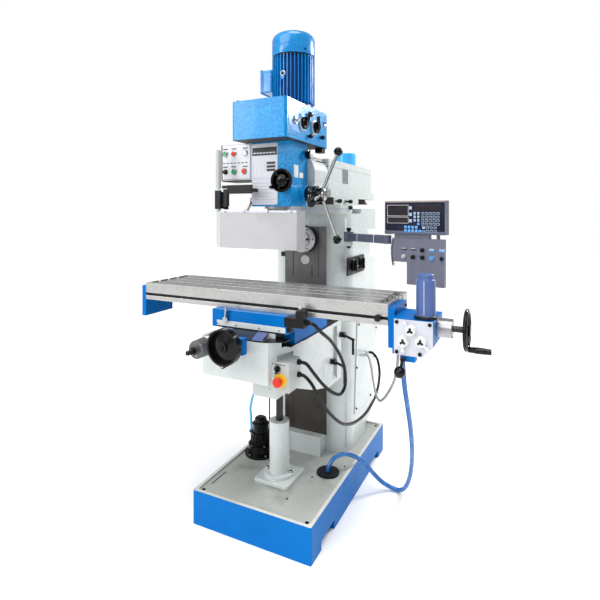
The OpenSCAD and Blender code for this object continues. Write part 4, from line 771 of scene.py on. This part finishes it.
eased("head_housing", 4, [hammer_blue, black_oxide, white, steel], housing_pick)
slabs("head_plate", [((-106, -332.4, 1508), (38, -330, 1806))], "head", plate_metal, 0.6)
slabs("head_plate_header", [((-103, -333, 1748), (35, -332, 1787))], "head", black_ink, 0.2)
slabs("head_plate_header_row", [((-97 + 18 * k, -333.6, 1757), (-83 + 18 * k, -332.8, 1763))
                                for k in range(7)], "head", plate_metal, 0.2)
slabs("head_plate_boxes", [((-22, -333, z), (26, -332, z + 12)) for z in (1704, 1687, 1670)], "head",
      black_ink, 0.2)
faint_ink = finish("faint_ink", (0.36, 0.38, 0.40), (0.46, 0.48, 0.50), 0.5, grain=400, bump=0.02)
slabs("head_plate_rules", [((-98, -332.8, z), (30 - 18 * (k % 3), -332.2, z + 2))
                           for k, z in enumerate((1637, 1612, 1596, 1580, 1564, 1548, 1532, 1520))]
      + [((-98 + 22 * k, -332.8, 1668), (-96.8 + 22 * k, -332.2, 1716)) for k in range(4)],
      "head", faint_ink, 0.2)
screw_heads("head_plate_screws", [(x, -332, z) for x in (-101, 33) for z in (1513, 1801)], FRONT, "head",
            2.4, steel)
slabs("head_side_plates", [((108, -300, 1640), (110.4, -254, 1700)),
                           ((108, -240, 1640), (110.4, -200, 1666))], "head", white_ink, 0.5)
SIDE_KNOB = (117, -176, 1760)
turned("side_knob", [(18, 0), (18, 6), (24, 8), (24, 16), (20, 17), (20, 26), (15, 30), (0, 31)],
       [SIDE_KNOB], RIGHT, "head", gloss_black)
turned("side_knob_cap", [(19, 26), (19, 29), (14, 32), (0, 33)], [SIDE_KNOB], RIGHT, "head", motor_grey)
GEARBOX_SIDE, GEAR_Z = 146, 1899


eased("head_gearbox", 5, [hammer_blue, black_ink], lambda c, n: 1 if n.z < -0.9 and c.z < 1813 else 0)
slabs("gearbox_borders", [((-128, -450, z), (128, -448.6, z + 3)) for z in (1829, 1968)]
      + [((145.6, -430, z), (147, 10, z + 3)) for z in (1829, 1968)], "head", motor_blue, 0.6)
screw_heads("gearbox_lid_screws", [(x, y, 1995) for x in (-122, 122) for y in (-430, -216, -8)], UP,
            "head", 7)
slabs("gear_plate", [((145.8, -404, 1846), (147.4, -318, 1952)),
                     ((145.8, -424, 1868), (148, -300, 1930))], "head", motor_blue, 1)
for k, y in enumerate((-278, -139)):
    turned(f"gear_boss_{k + 1}", [(38, 0), (38, 3), (35, 5), (7, 5), (7, 0)], [(GEARBOX_SIDE, y, GEAR_Z)],
           RIGHT, "head", motor_grey, sides=40)
    tick_ring(f"gear_marks_{k + 1}", (GEARBOX_SIDE + 5.2, y, GEAR_Z), RIGHT, 36, 12, 4, "head", black_ink)
    eased(f"gear_lever_{k + 1}", 1.5, [bakelite])
turned("oil_sight", [(14, 0), (14, 5), (11, 7), (9, 6), (0, 6)], [(GEARBOX_SIDE, -18, 1938)], RIGHT,
       "head", chrome)
turned("selector_dial", [(20, 0), (20, 6), (17, 9), (6, 9), (6, 20), (0, 20)],
       [(GEARBOX_SIDE + 1, -361, GEAR_Z)], RIGHT, "head", chrome)
turned("change_knobs", [(9, 0), (9, 6), (12, 9), (12, 17), (8, 21), (0, 22)],
       [(GEARBOX_SIDE, y, z) for y, z in ((-208, 1952), (-208, 1846), (-60, 1860))], RIGHT, "head",
       bakelite)
slabs("gearbox_rear_stub", [((96, -30, 1786), (138, 18, 1812))], "head", black_oxide, 4)

# The head motor: an aluminium frame with cooling fins, a smooth fan cover and a terminal box.
# The fins run from the flange to the fan cover, and an eye bolt lifts the motor.
MOTOR = (0, -89, 1995)
FIN_COUNT, FIN_THICK, TERMINAL_FINS = 36, 0.0038, range(16, 21)
COVER_SCREW_TURN = -0.55
# The core between the fins is painted darker blue than the fins: painted shade in the gaps between them.
motor_core = turned("motor_core", [(97, 0), (97, 36), (94, 38), (94, 286), (60, 286)], [MOTOR], UP,
                    "head", fin_gap_painted_shade, sides=64)
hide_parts("head_motor")
turned("motor_fan_gap", [(104, 282), (104, 294)], [MOTOR], UP, "head", black_oxide, sides=64)
turned("motor_fan_cover", [(100, 291), (112, 291), (113, 293), (113, 331), (111.5, 333), (111.5, 336),
                           (113, 338), (113, 374), (110, 385), (104, 395), (94, 404), (78, 411),
                           (50, 415), (0, 416)], [MOTOR], UP, "head", motor_blue, sides=64)
fins = [Matrix.Translation((0, MOTOR[1] * MM, 0)) @ Matrix.Rotation(k * math.tau / FIN_COUNT, 4, "Z")
        @ Matrix.Translation((0.1025, 0, 2.157)) @ Matrix.Diagonal((0.0195, FIN_THICK, 0.244, 1))
        for k in range(FIN_COUNT) if k not in TERMINAL_FINS]
piece("motor_fins", blocks_mesh("motor_fins", fins), "head", [motor_blue])
outward = Vector((math.cos(COVER_SCREW_TURN), math.sin(COVER_SCREW_TURN), 0))
screw_heads("fan_cover_screws", [Vector((0, MOTOR[1], 2304)) + 113 * outward], outward, "head", 5)
slabs("terminal_body", [((-150, -166, 2099), (-88, -74, 2218))], "head", motor_blue, 5)
slabs("terminal_lid", [((-157, -170, 2095), (-146, -70, 2222))], "head", motor_blue, 3)
slabs("terminal_frame", [((-144, -168, 2106), (-94, -165.5, 2112)),
                         ((-144, -168, 2205), (-94, -165.5, 2211)),
                         ((-144, -168, 2112), (-138, -165.5, 2205)),
                         ((-100, -168, 2112), (-94, -165.5, 2205))], "head", motor_blue, 1)
screw_heads("terminal_screws", [(-157, y, z) for y in (-162, -78) for z in (2103, 2214)], (-1, 0, 0),
            "head", 3.4, steel)
slabs("eye_bolt_lug", [((-14, -206, 2148), (6, -184, 2166))], "head", motor_blue, 4)
eye = [Vector((-4 + 12 * math.cos(k * math.tau / 20), -200, 2178 + 12 * math.sin(k * math.tau / 20))) * MM
       for k in range(21)]
piece("eye_bolt", tube_mesh("eye_bolt", eye, 0.004), "head", [steel])

# The quill and the vertical spindle: a chromed sleeve that slides down, with the spindle inside.
# The collar on the nose has two drive keys.
eased("quill", 1.5, [chrome])
eased("vertical_spindle", 1.5, [steel])
slabs("spindle_keys", [((26, -269, 1394), (42, -255, 1400)), ((-42, -269, 1394), (-26, -255, 1400))],
      "vertical_spindle", black_oxide, 1)

# The quill feed lever: three chromed rods with black balls on a chromed hub.
# Next to it is the fine feed handwheel: an open black ring on three spokes, with a handle, on a cream
# collar. Both wheels have their own shaft in the head.
HUB_Y, HUB_Z = -200, 1558
cream = finish("cream_paint", (0.62, 0.58, 0.46), (0.5, 0.47, 0.38), 0.35, grain=200, bump=0.04)


def hub_pick(c, n):
    return 1 if c.x > 250 and (c - Vector((c.x, HUB_Y, HUB_Z))).length > 180 else 0 if c.x > 224 else 2


eased("quill_feed_lever", 0.8, [chrome, bakelite, gloss_black], hub_pick, 40)
turned("hub_stripes", [(44.4, 0), (44.4, 4), (43.8, 4), (43.8, 12), (44.4, 12), (44.4, 15)],
       [(157, HUB_Y, HUB_Z)], RIGHT, "quill_feed_lever", chrome, sides=48)
tick_ring("hub_marks", (190.4, HUB_Y, HUB_Z), RIGHT, 43, 30, 7, "quill_feed_lever", white_ink, wide=0.8)
turned("hub_cap", [(30, 0), (30, 6), (24, 11), (10, 13), (0, 13)], [(221, HUB_Y, HUB_Z)], RIGHT,
       "quill_feed_lever", chrome, sides=40)
FINE = Vector((79, -370, 1621))
ring = turned("fine_wheel_ring", [(44, -8), (54, -8), (56, -5), (56, 4), (53, 8), (47, 8), (44, 5),
                                  (44, -8)], [FINE], FRONT, "fine_feed_wheel", gloss_black,
              sides=48)
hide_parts("fine_feed_wheel")
turned("fine_wheel_hub", [(16, -14), (30, -12), (30, 0), (26, 3), (10, 4), (9, 8), (0, 8)], [FINE], FRONT,
       "fine_feed_wheel", gloss_black, sides=40)
for k, turn in enumerate((10, 130, 250)):
    out = Vector((math.cos(math.radians(turn)), 0, math.sin(math.radians(turn))))
    piece(f"fine_wheel_spoke_{k + 1}", tube_mesh("spoke", [(FINE + r * out) * MM for r in (24, 47)],
                                                 0.006), "fine_feed_wheel", [gloss_black])
turned("fine_wheel_collar", [(26, 0), (26, 17), (24, 20), (10, 20), (10, 24)], [(FINE.x, -330.3, FINE.z)],
       FRONT, "fine_feed_wheel", cream, sides=40)
turned("fine_wheel_handle", [(5, 0), (5, 8), (8, 10), (9, 30), (7, 42), (0, 43)], [(47, -378, 1588)],
       FRONT, "fine_feed_wheel", gloss_black, sides=24)

# The control box: folded white sheet on the head's left, with five buttons and a selector.
# The labels over the buttons are plain bars.
BOX_FACE = -334
eased("control_box", 2, [box_white])
panel_grey = finish("panel_grey", (0.64, 0.65, 0.69), (0.58, 0.59, 0.63), 0.34, patch=6, grain=260,
                    bump=0.04)
slabs("control_door", [((-281, -334, 1637), (-116, -330, 1808))], "head", panel_grey, 1.5)
slabs("control_edge", [((-290, -331, 1632), (-281.6, -328.5, 1811))], "head", black_ink, 0.4)
# The black strip under the box is painted shade on its underside, made in the black rubber material.
slabs("control_shadow_strip", [((-288, -326, 1626), (-112, -196, 1631.4))], "head", rubber, 1)
labels = [((x - 14, -335, z + 22), (x + 14, -333.8, z + 27))
          for x in (-262, -211, -144) for z in (1765, 1675)]
rules = [((-276 + 22 * k, -335, 1716), (-262 + 22 * k, -333.8, 1720)) for k in range(7)]
slabs("control_labels", labels + rules, "head", black_ink, 0.3)
turned("control_selector", [(13, 0), (13, 4), (9, 6), (9, 14), (0, 15)], [(-262, BOX_FACE, 1675)], FRONT,
       "head", bakelite)
for k, (x, z, surface) in enumerate([(-262, 1765, green), (-211, 1765, red), (-144, 1765, white_ink),
                                     (-209, 1675, green), (-150, 1675, red)]):
    eased(f"button_{k + 1}", 1, [surface])
    turned(f"button_bezel_{k + 1}", [(16, 0), (16, 3), (13.6, 5), (12.6, 5), (12.6, 0)],
           [(x, BOX_FACE, z)], FRONT, "head", steel)

# The chip guard: a bent sheet of clear plastic, frosted by wear, hung from a post.
# A steel edging holds its top, and black clamps hold it on the post.
guard_clear = finish("guard_clear", (0.60, 0.60, 0.62), (0.50, 0.50, 0.52), 0.42, patch=9, grain=60,
                     bump=0.05, clear=0.45)


def guard_pick(c, n):
    return 1 if c.x < -244 and c.y > -414 or c.z > 1480 else 0


eased("guard_shield", 0.4, [guard_clear, white], guard_pick)
slabs("guard_edging", [((-230, -423.5, 1470), (185, -417, 1480))], "guard_shield", plate_metal, 0.8)
slabs("guard_post_block", [((-268, -418, 1488), (-234, -382, 1578))], "guard_shield", black_oxide, 3)
turned("guard_sleeve", [(13, 0), (13, 190), (10, 192), (10, 196)], [(-258, -400, 1582)], UP,
       "guard_shield", box_white)
slabs("guard_drop", [((-222, -412, 1500), (-196, -394, 1584)), ((-232, -410, 1588), (-198, -396, 1602))],
      "head", black_oxide, 3)
turned("guard_drop_knob", [(8, 0), (12, 4), (12, 12), (8, 15), (0, 16)], [(-209, -403, 1500)], (0, 0, -1),
       "head", bakelite)
screw_heads("guard_screws", [(x, -423, 1474) for x in (-200, -90, 40, 160)], FRONT, "guard_shield", 4,
            steel)

# The readout: a box arm in three lengths on a bracket, its display and a hanging tool panel.
# The display has three dark windows over rows of keys, and the panel has two rows of knobs.
purple = finish("purple_hammertone", (0.070, 0.082, 0.130), (0.10, 0.115, 0.17), 0.40, metallic=0.1,
                patch=50, grain=240, bump=0.2, dents=True, coat=0.2)
panel_slate = finish("panel_slate", (0.125, 0.13, 0.185), (0.15, 0.155, 0.21), 0.40, patch=30, grain=240,
                     bump=0.15, dents=True, coat=0.1)
navy = finish("navy_front", (0.004, 0.005, 0.022), (0.009, 0.011, 0.036), 0.24, bump=0.02, specular=0.3)
window = finish("dark_window", (0.012, 0.008, 0.012), (0.02, 0.014, 0.02), 0.1, grain=200, bump=0.0,
                coat=0.6)
key_grey = finish("key_grey", (0.34, 0.46, 0.62), (0.28, 0.38, 0.54), 0.4)
key_blue = finish("key_blue", (0.10, 0.36, 0.80), (0.08, 0.30, 0.70), 0.35)
key_dark = finish("key_dark", (0.015, 0.018, 0.04), (0.03, 0.035, 0.06), 0.35)
edge_brown = finish("edge_brown", (0.30, 0.25, 0.22), (0.46, 0.42, 0.40), 0.4, patch=18, bump=0.05)
seam_and_highlight_white = finish("pale_seam_and_painted_highlight", (0.70, 0.70, 0.68), (0.58, 0.58, 0.56), 0.5, bump=0.02)
ARM = [(250, 75), (335, 10), (436, -40), (505, -84)]
ARM_Z, ARM_TALL, ARM_WIDE = 1340, 40, 36


def on_line(made, start, end):
    along = Vector(end) - Vector(start)
    made.data.transform(Matrix.Translation((start[0] * MM, start[1] * MM, 0))
                        @ Matrix.Rotation(math.atan2(along.y, along.x), 4, "Z"))
    return made


low, high = ARM_Z - ARM_TALL / 2, ARM_Z + ARM_TALL / 2
for k, (start, end) in enumerate(zip(ARM, ARM[1:])):
    long = (Vector(end) - Vector(start)).length
    beam = on_line(slabs(f"arm_beam_{k + 1}", [((-8, -ARM_WIDE / 2, low), (long + 8, ARM_WIDE / 2, high))],
                         "dro_arm", purple, 3), start, end)
    if k == 0:
        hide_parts("dro_arm")
    on_line(slabs(f"arm_seam_{k + 1}", [((long - 2, -ARM_WIDE / 2 - 1, low - 1),
                                         (long + 2, ARM_WIDE / 2 + 1, high + 1))],
                  "dro_arm", seam_and_highlight_white, 0.6), start, end)
turned("arm_knuckle", [(25, 0), (26, 1), (26, 51), (25, 52)], [(*ARM[0], ARM_Z - 26)], UP, "dro_arm",
       purple)
turned("arm_pin", [(8, 0), (8, 50)], [(*ARM[0], ARM_Z - 50)], UP, "dro_arm", steel)
turned("arm_top_knob", [(9, 0), (9, 6), (14, 9), (14, 18), (9, 22), (0, 22)], [(*ARM[0], ARM_Z + 26)], UP,
       "dro_arm", bakelite)
turned("arm_low_knob", [(6, 0), (6, 8), (11, 12), (12, 24), (8, 31), (0, 32)], [(*ARM[0], ARM_Z - 32)],
       (0, 0, -1), "dro_arm", bakelite)
turned("arm_end", [(20, 0), (20, ARM_TALL)], [(*ARM[3], low)], UP, "dro_arm", purple)
eased("dro_unit", 3, [panel_slate])
UNIT_TURN = Matrix.Translation((0.640, -0.095, 0)) @ Matrix.Rotation(math.radians(-13), 4, "Z")


def on_unit(made):
    made.data.transform(UNIT_TURN)
    return made


def unit_slabs(name, blocks, surface, width):
    return on_unit(slabs(name, blocks, "dro_unit", surface, width))


def key_blocks(columns, rows, wide, tall):
    return [((x - wide / 2, -35, z - tall / 2), (x + wide / 2, -32, z + tall / 2))
            for x in columns for z in rows]


unit_slabs("display_front", [((-138, -33, 1384), (156, -29, 1518))], navy, 2)
unit_slabs("display_chin", [((-141, -34, 1370), (159, -30, 1385))], purple, 2)
unit_slabs("display_top", [((-141, -32, 1517), (159, 12, 1525))], edge_brown, 2.5)
unit_slabs("display_windows", [((-124, -34, 1456), (-18, -32.6, 1504)),
                               ((-124, -34, 1422), (-18, -32.6, 1448)),
                               ((14, -34, 1482), (140, -32.6, 1504))], window, 0.6)
frames = []
for x0, z0, x1, z1 in [(-126, 1454, -16, 1506), (-126, 1420, -16, 1450)]:
    frames += [((x0, -34.6, z0), (x1, -33.6, z0 + 1.6)), ((x0, -34.6, z1 - 1.6), (x1, -33.6, z1)),
               ((x0, -34.6, z0), (x0 + 1.6, -33.6, z1)), ((x1 - 1.6, -34.6, z0), (x1, -33.6, z1))]
unit_slabs("display_window_frames", frames, seam_and_highlight_white, 0.3)
unit_slabs("display_pale_keys", key_blocks((-6,), (1492, 1462, 1432), 15, 15)
           + key_blocks((15, 33), (1467, 1451, 1435), 11, 12), key_grey, 2)
unit_slabs("display_blue_keys", key_blocks((-31, -13, 5, 23), (1403, 1386), 13, 13)
           + key_blocks((33,), (1419,), 11, 12) + key_blocks((41, 59), (1386,), 13, 11), key_blue, 2)
unit_slabs("display_key_rims", key_blocks((54, 72, 90, 108, 126), (1466, 1450, 1434, 1418), 14, 12)
           + key_blocks((59, 77, 95, 113), (1402, 1386), 14, 11), key_grey, 2)
dark_keys = unit_slabs("display_dark_keys",
                       key_blocks((54, 72, 90, 108, 126), (1466, 1450, 1434, 1418), 11, 9)
                       + key_blocks((77, 95, 113), (1402, 1386), 11, 8), key_dark, 2)
dark_keys.data.transform(UNIT_TURN @ Matrix.Translation((0, -0.0008, 0)) @ UNIT_TURN.inverted())
unit_slabs("panel_bridge", [((-96, -20, 1349), (80, 6, 1371))], panel_slate, 2)
KNOB = [(10, 0), (10, 3), (8.5, 4), (8.5, 12), (7, 14), (0, 14)]
for name, x, z, surface in [("grey", -42, 1265, motor_grey), ("ring", 4, 1265, bakelite),
                            ("black", 50, 1265, bakelite), ("blue", 96, 1265, key_blue),
                            ("navy", 143, 1265, navy), ("rocker", 50, 1299, bakelite)]:
    on_unit(turned("panel_knob_" + name, KNOB, [(x, -26, z)], FRONT, "dro_unit", surface))
    unit_slabs("panel_grip_" + name, [((x - 2.5, -45, z - 9), (x + 2.5, -38, z + 9))], surface, 1)
unit_slabs("panel_levers", [((-54, -32, 1297), (-28, -27, 1302)), ((-8, -32, 1297), (18, -27, 1302))],
           rubber, 1.5)
unit_slabs("panel_blue_rockers", [((84, -32, 1294), (108, -27, 1303)),
                                  ((131, -32, 1294), (155, -27, 1303))], key_blue, 1.5)
# The pale strips on the top edges of the levers and rockers are painted highlights.
unit_slabs("panel_lever_painted_highlights", [((-53, -33, 1302), (-30, -29, 1304.5)),
                                  ((-6, -33, 1302), (18, -29, 1304.5)),
                                  ((84, -33, 1303), (108, -29, 1306)),
                                  ((131, -33, 1303), (155, -29, 1306))], seam_and_highlight_white, 0.6)
COIL_TURNS, COIL_R, COIL_PITCH = 14, 5.5, 9
coil = []
for k in range(COIL_TURNS * 10 + 1):
    a = k * math.tau / 10
    share = k / (COIL_TURNS * 10)
    coil.append(Vector((-99 - 8 * math.sin(share * math.pi) + COIL_R * math.cos(a),
                        -22 + COIL_R * math.sin(a), 1345 - COIL_TURNS * COIL_PITCH * share)) * MM)
on_unit(piece("panel_coil", tube_mesh("panel_coil", coil, 0.0022, 6), "dro_unit", [conduit_rubber]))
